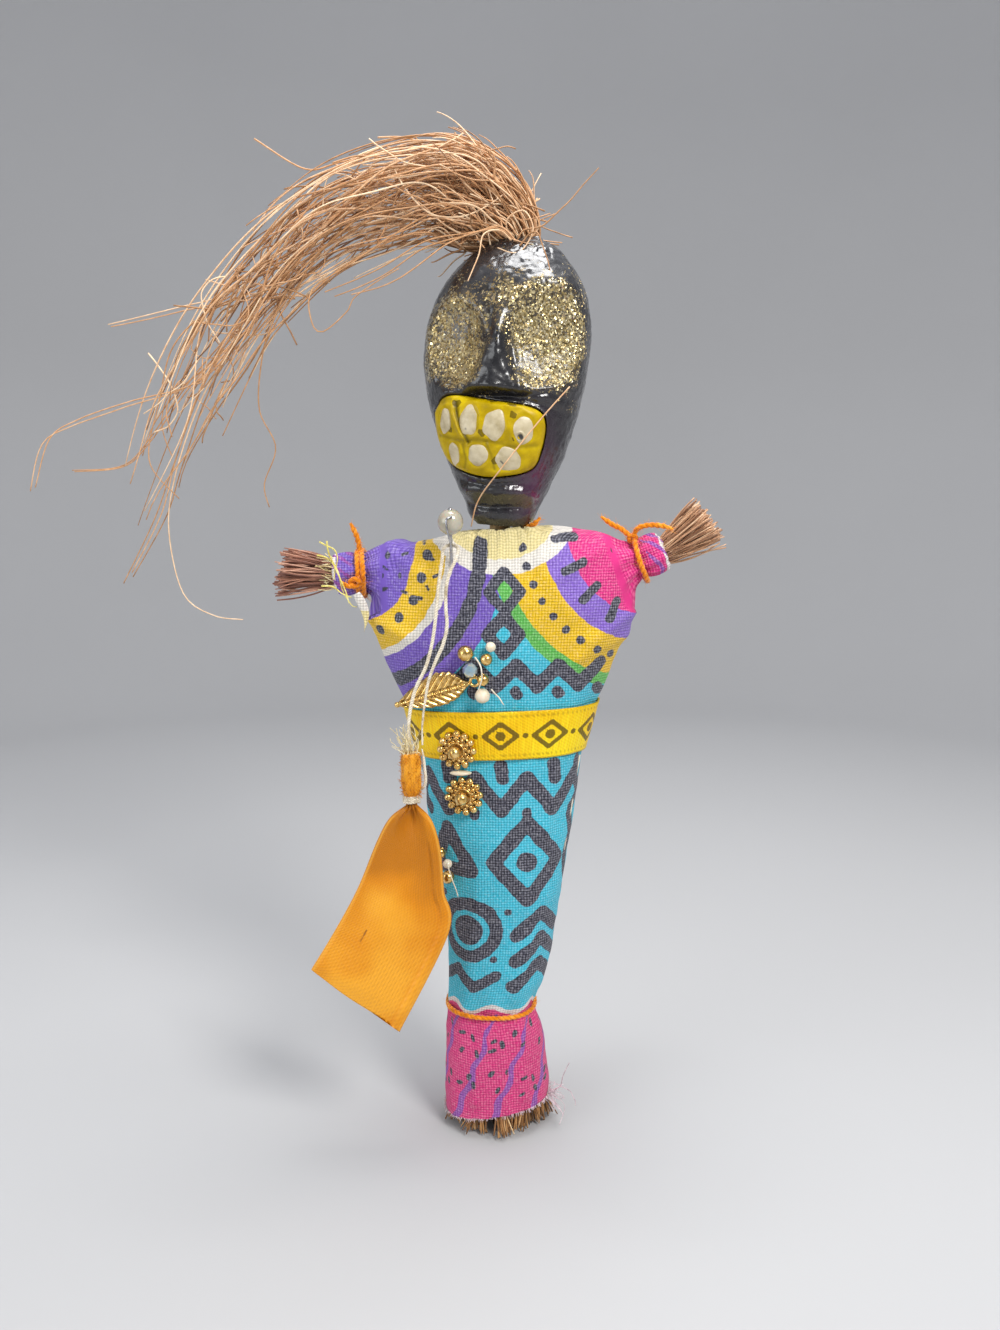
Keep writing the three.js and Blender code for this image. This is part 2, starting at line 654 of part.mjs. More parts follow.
// Front of the face, as y in the head's frame
function faceFront(x, z, swell) {
  let angle = 1.5 * Math.PI;
  let low = Math.PI;
  let high = 2 * Math.PI;
  for (let i = 0; i < 30; i += 1) {
    angle = (low + high) / 2;
    if (headPoint(z, angle, swell).x < x) {
      low = angle;
    } else {
      high = angle;
    }
  }
  return headPoint(z, angle, swell).y;
}

// The mouth's outline as a bar through the face, grown by a margin
function mouthBar(margin) {
  const middle = mouthOutline.reduce((sum, [x, z]) => [sum[0] + x / mouthOutline.length,
    sum[1] + z / mouthOutline.length], [0, 0]);
  const corners = mouthOutline.map(([x, z]) => {
    const out = new THREE.Vector2(x - middle[0], z - middle[1]);
    out.setLength(out.length() + margin * 1.3);
    return new THREE.Vector2(middle[0] + out.x, middle[1] + out.y);
  });
  const outline = new THREE.Shape();
  outline.setFromPoints(new THREE.SplineCurve([...corners, corners[0]]).getPoints(20).slice(0, 20));
  const block = new THREE.ExtrudeGeometry(outline, { depth: 26, bevelEnabled: false });
  block.rotateX(Math.PI / 2);
  block.translate(0, -2, 0);
  return toSolid(block);
}

function toothShape(tooth, margin) {
  const step = 0.6;
  const proud = mouthProud;
  const slopeX = (faceFront(tooth.x + step, tooth.z, proud) - faceFront(tooth.x - step, tooth.z, proud))
    / (2 * step);
  const slopeZ = (faceFront(tooth.x, tooth.z + step, proud) - faceFront(tooth.x, tooth.z - step, proud))
    / (2 * step);
  const out = new THREE.Vector3(slopeX, -1, slopeZ).normalize();
  const geometry = new THREE.SphereGeometry(1, 8, 5);
  geometry.scale(tooth.wide + margin, toothDepth + margin, tooth.tall + margin);
  geometry.applyQuaternion(new THREE.Quaternion().setFromUnitVectors(new THREE.Vector3(0, -1, 0), out));
  geometry.translate(tooth.x, faceFront(tooth.x, tooth.z, proud), tooth.z);
  return toSolid(geometry);
}

function makeHeadPieces(group) {
  group.position.set(...headBase);
  group.rotation.set(0, headRoll, -headYaw, 'YZX');
  group.updateMatrixWorld(true);
  const toHead = group.matrixWorld.clone().invert();
  const inHead = (solid) => toSolid(toGeometry(solid).applyMatrix4(toHead));
  const pocket = mouthBar(clearance).subtract(headSolid(-mouthSunk - clearance));
  const bores = inHead(stickHole(0, stickTop + clearance)).add(inHead(plumePlug(clearance)));
  const skull = headSolid(0).subtract(pocket).subtract(bores);
  const sockets = Manifold.union(teeth.map((tooth) => toothShape(tooth, clearance)));
  const slab = mouthBar(0).intersect(headSolid(mouthProud)).subtract(headSolid(-mouthSunk))
    .subtract(sockets);
  group.add(piece('head', skull, 'clay'), piece('mouth_slab', slab, 'mouth'));
  teeth.forEach((tooth, i) => {
    group.add(piece(`tooth_${i + 1}`, toothShape(tooth, 0), 'tooth'));
  });
}

// Ties and belt

function tieRing(middle, way, across, along) {
  return closedYarn(ringAt(middle, way, across, along, 16), way, yarnRadius, 5);
}

function armTieRadius() {
  return tieRow.radius + clearance + yarnRadius;
}

function makeLeftTie() {
  const way = new THREE.Vector3(...arms.left.sleeve).normalize();
  const ring = tieRing(armPoint(arms.left, 0), way, armTieRadius(), armTieRadius());
  const knot = armPoint(arms.left, 0).add(new THREE.Vector3(0, -1.4, armTieRadius()));
  const end = knot.clone().add(new THREE.Vector3(-1.6, -0.6, 5.4));
  const lean = knot.clone().add(new THREE.Vector3(-0.4, -0.3, 2.6));
  const tail = toSolid(cordGeometry([knot, lean, end], yarnRadius, 3, 5));
  return Manifold.union([ring, ball(knotRadius, knot, 7, 5), tail]);
}

function makeRightTie() {
  const way = new THREE.Vector3(...arms.right.sleeve).normalize();
  const ring = tieRing(armPoint(arms.right, 0), way, armTieRadius(), armTieRadius());
  const knot = armPoint(arms.right, 0).add(new THREE.Vector3(-1.5, -1.4, armTieRadius() - 0.2));
  const at = (x, y, z) => knot.clone().add(new THREE.Vector3(x, y, z));
  const inner = cordGeometry([knot, at(-2.2, -0.4, 1.8), at(-4, -0.4, 2.7), at(-6.2, -0.2, 4.2)],
    yarnRadius, 4, 5);
  const outer = cordGeometry([knot, at(0.8, -0.6, 1.9), at(3, -1, 2.6), at(5.6, -1.6, 2.4),
    at(7.4, -2.2, 1.8)], yarnRadius, 5, 5);
  return Manifold.union([ring, ball(knotRadius, knot, 7, 5), toSolid(inner), toSolid(outer)]);
}

function bodyTie(z, turns, sides) {
  const points = Array.from({ length: turns }, (_, j) => {
    return bodyPoint(z, j / turns * 2 * Math.PI, -clearance - yarnRadius);
  });
  return closedYarn(points, new THREE.Vector3(0, 0, 1), yarnRadius, sides);
}

function makeNeckTie() {
  const radius = stickRadius + clearance + yarnRadius;
  const middle = new THREE.Vector3(0, 0, neckTieHeight);
  return tieRing(middle, new THREE.Vector3(0, 0, 1), radius, radius);
}

// Belt: one ribbon, once round the waist, its end lapped over its start at the back
function makeBelt() {
  const steps = 34;
  const rings = Array.from({ length: steps + 1 }, (_, i) => {
    const turn = i / steps;
    const angle = Math.PI / 2 - beltLap / 2 + turn * (2 * Math.PI + beltLap);
    const lap = 2 * beltLap / (2 * Math.PI + beltLap);
    const rise = (beltThickness + clearance) * smooth(1 - lap, 1 - lap / 2, turn);
    const inner = clearance + rise;
    const corner = (side, lift) => {
      const flat = bodyPoint(beltHeight, angle, 0);
      const z = beltHeight + side * beltWidth / 2 + beltSlope * flat.x;
      return bodyPoint(z, angle, -lift);
    };
    const outer = inner + beltThickness;
    return [corner(-1, inner), corner(1, inner), corner(1, outer), corner(-1, outer)];
  });
  return loft(rings);
}

// Sewn trim

function beadSolid(bead) {
  const { middle } = seatOnCloth(bead.x, bead.z, bead.radius + clearance);
  return ball(bead.radius, middle, 9, 6);
}

function placed(geometry, seat) {
  return geometry.applyQuaternion(seat.turn).translate(seat.middle.x, seat.middle.y, seat.middle.z);
}

function rosetteSeat(rosette, lift) {
  const belt = rosette.overBelt ? beltThickness + clearance : 0;
  const [middle, reach] = rosette.overBelt ? [0, beltWidth / 2] : [rosette.z, rosetteRadius];
  return seatOnCloth(rosette.x, rosette.z, clearance + belt + lift, [middle - reach, middle + reach]);
}

// Open disc with a cup in the middle, a rim of granules and a ring of holes
function makeRosette(rosette) {
  const half = rosetteThickness / 2;
  const cup = studRadius + clearance;
  const profile = [[0, -half], [rosetteRadius - 0.15, -half], [rosetteRadius - 0.15, half],
    [cup + 0.3, half], [cup, half + 0.35], [cup - 0.35, half], [0, half]];
  const disc = new THREE.LatheGeometry(profile.map(([r, z]) => new THREE.Vector2(r, z)), granules);
  disc.rotateX(Math.PI / 2);
  const rim = [];
  const holes = [];
  for (let i = 0; i < granules; i += 1) {
    const angle = i / granules * 2 * Math.PI;
    const spot = (radius, turn) => new THREE.Vector3(radius * Math.cos(angle + turn),
      radius * Math.sin(angle + turn), 0);
    rim.push(ball(granuleRadius, spot(rosetteRadius, 0), 6, 3));
    if (i % 2 === 0) {
      const place = spot((cup + rosetteRadius) / 2 + 0.1, Math.PI / granules);
      const low = place.clone().setZ(-1);
      holes.push(bar(low, place.clone().setZ(1), rosetteHoleRadius, 4));
    }
  }
  const solid = Manifold.union([toSolid(disc), ...rim]).subtract(Manifold.union(holes));
  return toSolid(placed(toGeometry(solid), rosetteSeat(rosette, granuleRadius)));
}

function makeStud(rosette) {
  const lift = granuleRadius + rosetteThickness / 2 + clearance + studRadius;
  return ball(studRadius, rosetteSeat(rosette, lift).middle, 10, 7);
}

function makeDiscBead() {
  const geometry = new THREE.SphereGeometry(1, 10, 6);
  geometry.scale(discBead.wide, discBead.deep, discBead.tall);
  const { middle } = seatOnCloth(discBead.x, discBead.z, discBead.deep + clearance);
  return toSolid(geometry.translate(middle.x, middle.y, middle.z));
}

// Leaf with a raised midrib and slanted veins, drawn out into a stem with a loop
function makeLeaf() {
  const stem = new THREE.Vector3(leafStem.x, leafStem.y, beltHeight + leafStem.z);
  const tip = new THREE.Vector3(leafTip.x, leafTip.y, beltHeight + leafTip.z);
  const way = tip.clone().sub(stem).normalize();
  const length = tip.distanceTo(stem);
  const up = new THREE.Vector3(0, 0, 1).addScaledVector(way, -way.z).normalize();
  const out = new THREE.Vector3().crossVectors(up, way).normalize();
  const rings = Array.from({ length: leafStations + 1 }, (_, i) => {
    const share = i / leafStations;
    const blade = smooth(0.12, 0.32, share) * (1 - share ** 1.9) ** 0.7;
    const half = 0.35 + leafHalfWidth * blade;
    const vein = i % 2 === 0 ? leafVein : 0;
    const middle = stem.clone().addScaledVector(way, length * share);
    const corner = (across, lift, back) => middle.clone().addScaledVector(up, across * half)
      .addScaledVector(way, -back).addScaledVector(out, lift);
    const swept = Math.min(half * 0.5, 1);
    return [corner(-1, 0, -swept * blade), corner(-0.5, leafThickness * 0.55 + vein, 0),
      corner(0, leafThickness, swept * blade * 0.4), corner(0.5, leafThickness * 0.55 + vein, 0),
      corner(1, 0, -swept * blade), corner(0, -0.1, 0)];
  });
  const loop = new THREE.TorusGeometry(0.75, 0.28, 4, 9);
  loop.applyMatrix4(new THREE.Matrix4().makeBasis(up, way, out));
  const hang = stem.clone().addScaledVector(way, -0.6);
  loop.translate(hang.x, hang.y, hang.z);
  return loft(rings).add(toSolid(loop));
}

// Pin, thread and pouch

function pinPoint(distance) {
  const entry = new THREE.Vector3(pinEntry.x, bodyFront(pinEntry.x, pinEntry.z), pinEntry.z);
  return entry.addScaledVector(pinWay, distance);
}

function pinChannel() {
  return bar(pinPoint(-pinBuried - 1), pinPoint(2), pinRadius + clearance, 8);
}

function makePinShaft() {
  const tip = pinPoint(-pinBuried);
  const shoulder = pinPoint(1.5 - pinBuried);
  const top = pinPoint(pinReach + 1);
  return loft([ringAt(tip, pinWay, 0.05, 0.05, 8), ringAt(shoulder, pinWay, pinRadius, pinRadius, 8),
    ringAt(top, pinWay, pinRadius, pinRadius, 8)]);
}

function makePearl() {
  const middle = pinPoint(pinReach + pearlRadius);
  const bore = bar(pinPoint(0), pinPoint(pinReach + 1 + clearance), pinRadius + clearance, 8);
  return ball(pearlRadius, middle, 14, 9).subtract(bore);
}

const threadPoints = threadRoute.map((point) => new THREE.Vector3(...point));

// Least gap between the thread's two sides, measured on points along it
function threadGap() {
  const line = new THREE.CatmullRomCurve3(threadPoints, false, 'centripetal');
  const points = line.getSpacedPoints(240);
  let least = Infinity;
  points.forEach((point, i) => {
    for (let j = i + 12; j < points.length; j += 1) {
      least = Math.min(least, point.distanceTo(points[j]) - threadDiameter);
    }
  });
  return least;
}

function makePouch() {
  const neckHeight = pouchNeckTop - pouchTieHeight;
  const neck = [[pouchNeckTop, pouchNeckRadius * 0.85], [pouchTieHeight + neckHeight * 0.67, pouchNeckRadius],
    [pouchTieHeight + neckHeight * 0.22, pouchNeckRadius * 0.92], [pouchTieHeight, pouchTieRadius]];
  const neckSides = 2 * (pouchColumns + 1);
  const down = new THREE.Vector3(0, 0, -1);
  const edge = (list, t) => {
    const points = list.map(([x, drop]) => new THREE.Vector2(x, pouchTieHeight - drop));
    return new THREE.SplineCurve(points).getPoint(t);
  };
  const rings = neck.map(([z, half]) => {
    return ringAt(new THREE.Vector3(pouchMiddle, pouchDepth, z), down, half, half, neckSides);
  });
  for (let i = 0; i <= pouchRows; i += 1) {
    const t = i / pouchRows;
    const left = edge(pouchLeft, t);
    const right = edge(pouchRight, t);
    const flat = smooth(0, 0.3, t);
    const thick = THREE.MathUtils.lerp(pouchTieRadius, pouchHalfThickness, flat);
    const lane = (side) => Array.from({ length: pouchColumns + 1 }, (_, j) => {
      const round = 0.5 - 0.5 * Math.cos(j / pouchColumns * Math.PI);
      const even = THREE.MathUtils.lerp(round, j / pouchColumns, flat);
      const share = THREE.MathUtils.lerp(0.02, 0.98, even);
      const at = left.clone().lerp(right, side > 0 ? share : 1 - share);
      const hump = THREE.MathUtils.lerp(Math.sqrt(share * (1 - share)) * 2, 1, flat * 0.75);
      const ripple = pouchRipple * flat * Math.sin(share * Math.PI * 2 + t) * (side > 0 ? 1 : -1);
      return new THREE.Vector3(at.x, pouchDepth + side * thick * hump + ripple, at.y);
    });
    rings.push([...lane(1), ...lane(-1)]);
  }
  return loft(rings);
}

// Thread wound round the neck, with the stretch that runs up the neck's right side to the loop
function makePouchTie() {
  const middle = new THREE.Vector3(pouchMiddle, pouchDepth, pouchTieHeight);
  const radius = pouchTieRadius + clearance + threadDiameter / 2;
  const down = new THREE.Vector3(0, 0, -1);
  const wrap = closedYarn(ringAt(middle, down, radius, radius, 16), down, threadDiameter / 2, 6);
  const at = (side, z) => new THREE.Vector3(pouchMiddle + side, pouchDepth, z);
  const beside = pouchNeckRadius + clearance + threadDiameter / 2;
  const neckHeight = pouchNeckTop - pouchTieHeight;
  const stretch = cordGeometry([at(radius, pouchTieHeight), at(beside, pouchTieHeight + neckHeight * 0.26),
    at(beside, pouchNeckTop - neckHeight * 0.26), at(beside - 0.4, pouchHinge - clearance)],
    threadDiameter / 2, 6, 6);
  return wrap.add(toSolid(stretch));
}

// Assembly

function piece(name, shape, finish) {
  const geometry = shape instanceof Manifold ? toGeometry(shape) : shape;
  const [color, roughness, metalness] = finishes[finish];
  const mesh = new THREE.Mesh(geometry, new THREE.MeshStandardMaterial({ color, roughness, metalness }));
  mesh.name = name;
  return mesh;
}

const doll = new THREE.Group();
const headGroup = new THREE.Group();
makeHeadPieces(headGroup);
doll.add(headGroup);
const stick = bar(new THREE.Vector3(0, 0, 0), new THREE.Vector3(0, 0, stickTop), stickRadius, 16);
doll.add(piece('core_stick', stick, 'wood'));
doll.add(piece('hair_plume', makeHairPlume(), 'bristle'));
doll.add(piece('body_cloth', makeBodyCloth(), 'cloth'));
doll.add(piece('stuffing', makeStuffing(), 'wadding'));
doll.add(piece('foot_brush', makeFootBrush(), 'bristle'));
doll.add(piece('arm_bundle_left', makeArmBundle(arms.left), 'bristle'));
doll.add(piece('arm_bundle_right', makeArmBundle(arms.right), 'bristle'));
doll.add(piece('arm_tie_left', makeLeftTie(), 'yarn'));
doll.add(piece('arm_tie_right', makeRightTie(), 'yarn'));
doll.add(piece('ankle_tie', bodyTie(ankleHeight, clothColumns, 5), 'yarn'));
doll.add(piece('neck_tie', makeNeckTie(), 'yarn'));
doll.add(piece('waist_ribbon', makeBelt(), 'belt'));
doll.add(piece('leaf_charm', makeLeaf(), 'gold'));
for (const bead of beads) {
  doll.add(piece(bead.name, beadSolid(bead), bead.colour));
}
for (const rosette of rosettes) {
  doll.add(piece(rosette.name, makeRosette(rosette), 'gold'));
  doll.add(piece(`${rosette.name}_stud`, makeStud(rosette), 'gold'));
}
doll.add(piece('cream_disc_bead', makeDiscBead(), 'cream'));
doll.add(piece('pin_shaft', makePinShaft(), 'steel'));
doll.add(piece('pin_pearl', makePearl(), 'pearl'));
const thread = cordGeometry(threadPoints, threadDiameter / 2, threadSteps, 8);
doll.add(piece('thread_loop', toSolid(thread), 'thread'));
doll.add(piece('pouch_tie', makePouchTie(), 'thread'));
doll.add(piece('pouch_ribbon', makePouch(), 'pouch'));

const hang = pinPoint(threadSeat).toArray().map((value) => value.toFixed(2));
console.log(`least gap of the thread to itself: ${threadGap().toFixed(2)} mm`);
console.log(`the thread hangs on the pin at ${hang.join(', ')}`);

export default doll;
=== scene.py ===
"""Looks of the small cloth doll: cloth, clay, bristles, ribbon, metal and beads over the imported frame.

Tables and places are in millimetres in the doll's own frame, and meshes are made in metres.
"""
import math

import bmesh
import bpy
import numpy as np
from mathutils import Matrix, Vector, noise


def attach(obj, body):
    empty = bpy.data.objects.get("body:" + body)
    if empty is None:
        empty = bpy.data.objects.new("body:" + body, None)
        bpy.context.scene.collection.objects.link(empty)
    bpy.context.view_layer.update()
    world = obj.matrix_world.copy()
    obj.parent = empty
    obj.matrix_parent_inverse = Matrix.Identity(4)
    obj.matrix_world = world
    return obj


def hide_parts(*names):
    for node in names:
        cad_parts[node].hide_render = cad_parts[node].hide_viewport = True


MM = 0.001
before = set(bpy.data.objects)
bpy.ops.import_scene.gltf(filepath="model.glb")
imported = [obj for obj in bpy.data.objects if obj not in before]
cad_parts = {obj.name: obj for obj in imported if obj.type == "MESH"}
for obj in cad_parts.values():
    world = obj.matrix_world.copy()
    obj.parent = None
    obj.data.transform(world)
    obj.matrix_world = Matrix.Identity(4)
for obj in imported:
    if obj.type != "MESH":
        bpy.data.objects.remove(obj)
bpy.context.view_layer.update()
scene = bpy.context.scene
CAMERA_LENS, CAMERA_TILT, CAMERA_DISTANCE, CAMERA_AIM = 27.07, math.radians(9), 198, 97


def make_camera():
    data = bpy.data.cameras.new("photo_camera")
    data.lens = CAMERA_LENS
    data.sensor_width = 36
    data.clip_start = 0.005
    camera = bpy.data.objects.new("photo_camera", data)
    scene.collection.objects.link(camera)
    camera.location = Vector((0, -CAMERA_DISTANCE * math.cos(CAMERA_TILT),
                              CAMERA_AIM + CAMERA_DISTANCE * math.sin(CAMERA_TILT))) * MM
    camera.rotation_euler = (math.pi / 2 - CAMERA_TILT, 0, 0)
    scene.camera = camera


# Numbers and lines

def smooth(low, high, value):
    share = np.clip((np.asarray(value, float) - low) / (high - low), 0, 1)
    return share * share * (3 - 2 * share)


def bell(value, width):
    return np.exp(-(np.asarray(value, float) / width) ** 2)


def bulge(value, fullness):
    return np.sign(value) * np.abs(value) ** fullness


def unit(vectors):
    vectors = np.asarray(vectors, float)
    return vectors / np.maximum(np.linalg.norm(vectors, axis=-1, keepdims=True), 1e-9)


def around(count):
    """Even turns of a whole circle."""
    return np.arange(count) / count * 2 * np.pi


def wheel(turn, u, v):
    """Ways at turns in the plane of two axes."""
    return np.cos(turn)[..., None] * u + np.sin(turn)[..., None] * v


def cross_axes(way):
    """Depth and breadth square to a way."""
    depth = unit(np.array([0, 1, 0]) - way * way[..., 1:2])
    return depth, np.cross(depth, way)


def through(table, column, z):
    """Value of a column at heights z, smooth through the rows of a table whose first column is the height."""
    table = np.asarray(table, float)
    heights, values = table[:, 0], table[:, column]
    z = np.asarray(z, float)
    last = len(heights) - 1
    i = np.clip(np.searchsorted(heights, z, side="left") - 1, 0, last - 1)
    before, after = np.maximum(i - 1, 0), np.minimum(i + 2, last)
    span = heights[i + 1] - heights[i]
    t = np.clip((z - heights[i]) / span, 0, 1)
    leave = (values[i + 1] - values[before]) / (heights[i + 1] - heights[before]) * span
    arrive = (values[after] - values[i]) / (heights[after] - heights[i]) * span
    t2, t3 = t * t, t * t * t
    return (values[i] * (2 * t3 - 3 * t2 + 1) + leave * (t3 - 2 * t2 + t)
            + values[i + 1] * (3 * t2 - 2 * t3) + arrive * (t3 - t2))


def bend(b, c, leave, arrive, w):
    """Places at shares w of the curve from b to c."""
    return ((2 * b - 2 * c + leave + arrive) * w ** 3 + (-3 * b + 3 * c - 2 * leave - arrive) * w ** 2
            + leave * w + b)


def spline(points, t):
    """Uniform smooth curve through points, at shares t of its length in points."""
    points = np.asarray(points, float)
    last = len(points) - 1
    p = np.clip(np.asarray(t, float), 0, 1) * last
    i = np.minimum(p.astype(int), last - 1)
    b, c = points[i], points[i + 1]
    leave = (c - points[np.maximum(i - 1, 0)]) / 2
    return bend(b, c, leave, (points[np.minimum(i + 2, last)] - b) / 2, (p - i)[..., None])


def run_along(line):
    """Length of a line up to each of its points."""
    return np.concatenate([[0], np.cumsum(np.linalg.norm(np.diff(line, axis=0), axis=1))])


def evenly(line, count):
    """Points at even steps along a fine line."""
    run = run_along(line)
    stops = np.linspace(0, run[-1], count)
    return np.stack([np.interp(stops, run, column) for column in line.T], axis=1)


def even_line(points, count):
    """Points at even steps along a smooth curve through points."""
    return evenly(spline(points, np.linspace(0, 1, 40 * len(points))), count)


def route(points, count):
    """Even points along the same centripetal curve that the solids' cords follow."""
    p = np.asarray(points, float)
    p = np.concatenate([[2 * p[0] - p[1]], p, [2 * p[-1] - p[-2]]])
    fine = []
    for a, b, c, d in zip(p[:-3], p[1:-2], p[2:-1], p[3:]):
        t1, t2, t3 = (np.linalg.norm(v) ** 0.5 for v in (b - a, c - b, d - c))
        leave = ((b - a) / t1 - (c - a) / (t1 + t2) + (c - b) / t2) * t2
        arrive = ((c - b) / t2 - (d - b) / (t2 + t3) + (d - c) / t3) * t2
        fine.append(bend(b, c, leave, arrive, np.linspace(0, 1, 40, endpoint=False)[:, None]))
    return evenly(np.concatenate(fine + [p[-2:-1]]), count)


def lumps(points, size, seed=0.0):
    """Smooth noise from -1 to 1 at points, with lumps of a size in millimetres."""
    shift = Vector((seed, seed * 1.7, -seed))
    return np.array([noise.noise(Vector(p) / size + shift) for p in np.asarray(points, float)])


def wobble(count, steps, size, seed):
    """Smooth random offsets (count, steps, 3) that start at nothing and grow along a fibre."""
    random = np.random.default_rng(seed)
    along = np.linspace(0, 1, steps)[None, :, None]
    total = np.zeros((count, steps, 3))
    for wave in (0.7, 1.6, 3.1):
        phase = random.uniform(0, 2 * np.pi, (count, 1, 3))
        height = random.normal(0, 1, (count, 1, 3)) / wave
        total += height * (np.sin(2 * np.pi * wave * along + phase) - np.sin(phase))
    return total * size * along ** 0.6


def line_distance(s, z, line, closed=False):
    """Distance from places to a line of straight runs."""
    line = np.asarray(line, float)
    if closed:
        line = np.concatenate([line, line[:1]])
    best = np.full(s.shape, 1e9)
    for (ax, az), (bx, bz) in zip(line[:-1], line[1:]):
        dx, dz = bx - ax, bz - az
        t = np.clip(((s - ax) * dx + (z - az) * dz) / (dx * dx + dz * dz + 1e-9), 0, 1)
        best = np.minimum(best, np.hypot(s - ax - t * dx, z - az - t * dz))
    return best


# Meshes: a form is its points in millimetres and its faces

def write_values(mesh, values):
    """Numbers or vectors per point, for the material to read."""
    for key, data in values.items():
        data = np.asarray(data, np.float32)
        kind, field = ("FLOAT", "value") if data.ndim == 1 else ("FLOAT_VECTOR", "vector")
        mesh.attributes.new(key, kind, "POINT").data.foreach_set(field, data.ravel())


def dress(name, mesh, material, replaces=(), body="doll", flat=False):
    """New piece of a mesh that rides on a body and stands in for solids."""
    mesh.update()
    if not flat:
        mesh.shade_smooth()
    obj = bpy.data.objects.new(name, mesh)
    scene.collection.objects.link(obj)
    mesh.materials.append(material)
    if body:
        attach(obj, body)
    if replaces:
        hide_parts(*replaces)
    return obj


def piece(name, form, material, slot, replaces=(), body="doll", flat=False, **values):
    points, faces = form
    mesh = bpy.data.meshes.new(name)
    mesh.from_pydata((np.asarray(points, float) * MM).tolist(), [], faces)
    write_values(mesh, values)
    return dress(name, mesh, material, replaces, body, flat)


def join_parts(parts):
    """One form from several."""
    points, faces, start = [], [], 0
    for part_points, part_faces in parts:
        points.append(np.asarray(part_points, float))
        faces += [tuple(int(i) + start for i in face) for face in part_faces]
        start += len(part_points)
    return np.concatenate(points), faces


class Parts:
    """Closed parts of one piece, with a number per point that its material reads."""

    def __init__(self):
        self.forms, self.marks = [], []

    def add(self, form, mark=0.0):
        """The mark is one number, or one for each of the part's equal runs of points."""
        self.forms.append(form)
        self.marks.append(np.repeat(mark, len(form[0]) // np.size(mark)))
        return self

    def piece(self, key, name, *labels, **more):
        return piece(name, join_parts(self.forms), *labels, **{key: np.concatenate(self.marks)}, **more)


def grid_faces(rows, columns):
    """Quads of a grid of points, row after row, wrapped round."""
    index = np.arange(rows * columns).reshape(rows, columns)
    right = np.roll(index, -1, axis=1)
    return np.stack([index[:-1], right[:-1], right[1:], index[1:]], axis=-1).reshape(-1, 4)


def closed_grid(rings):
    """Form of a solid through rings (rows, columns, 3), with a fan on both ends."""
    rows, columns, _ = rings.shape
    points = np.concatenate([rings.reshape(-1, 3), rings[:1].mean(axis=1), rings[-1:].mean(axis=1)])
    faces = grid_faces(rows, columns).tolist()
    first, top = rows * columns, (rows - 1) * columns
    for j in range(columns):
        k = (j + 1) % columns
        faces += [(first, k, j), (first + 1, top + j, top + k)]
    return points, faces


def capped(grid, fill=0.0):
    """Numbers or vectors of a closed grid's rings, and a number for the middle of both ends."""
    flat = grid.reshape((-1,) + grid.shape[2:])
    return np.concatenate([flat, np.full((2,) + flat.shape[1:], fill)])


def looped(rings):
    """Form through rings whose last joins the first."""
    rows, columns, _ = rings.shape
    return rings.reshape(-1, 3), (grid_faces(rows + 1, columns) % (rows * columns)).tolist()


TUBE_SIDE = (0.12, 1, 0.07)


def tubes(lines, radii, sides):
    """Thin closed tubes along lines (n, k, 3), or one line, with radii for all of their points."""
    lines = np.asarray(lines, float).reshape((-1,) + np.shape(lines)[-2:])
    n, k, _ = lines.shape
    radii = np.broadcast_to(radii, (n, k))
    way = unit(np.gradient(lines, axis=1))
    u = unit(np.cross(way, TUBE_SIDE))[:, :, None]
    v = np.cross(u, way[:, :, None])
    points = lines[:, :, None] + radii[:, :, None, None] * wheel(around(sides), u, v)
    index = np.arange(n * k * sides).reshape(n, k, sides)
    low, high = index[:, :-1], index[:, 1:]
    walls = np.stack([low, np.roll(low, -1, axis=2), np.roll(high, -1, axis=2), high], axis=-1).reshape(-1, 4)
    return points.reshape(-1, 3), walls.tolist() + index[:, 0, ::-1].tolist() + index[:, -1].tolist()


def lathe(profile, segments, middle=(0, 0, 0), axes=np.eye(3)):
    """Grid of a turned form from a profile of radii and heights."""
    profile, turn = np.asarray(profile, float), around(segments)
    grid = np.stack([profile[:, :1] * np.cos(turn), profile[:, :1] * np.sin(turn),
                     profile[:, 1:] * np.ones(segments)], axis=-1)
    return grid @ axes + np.asarray(middle)


def ball(middle, radius, segments, rings):
    theta = np.linspace(0, np.pi, rings + 1)
    grid = lathe(np.stack([radius * np.sin(theta), radius * np.cos(theta)], axis=1), segments, middle)
    return grid.reshape(-1, 3), grid_faces(rings + 1, segments)[:, ::-1].tolist()


def turned_to(out, spin=0.0):
    """Axes (3, 3) whose third row is out: rows are side, up and out."""
    out = unit(out)
    side = unit(np.cross([0, 0, 1], out))
    up = np.cross(out, side)
    return np.stack([side * math.cos(spin) + up * math.sin(spin),
                     up * math.cos(spin) - side * math.sin(spin), out])


# Materials

def paint(value):
    """Linear colour of an sRGB number such as 0x39b4ce; anything else stays as it is."""
    if not isinstance(value, int):
        return value
    parts = [(value >> shift & 255) / 255 for shift in (16, 8, 0)]
    return tuple(c / 12.92 if c <= 0.04045 else ((c + 0.055) / 1.055) ** 2.4 for c in parts) + (1,)


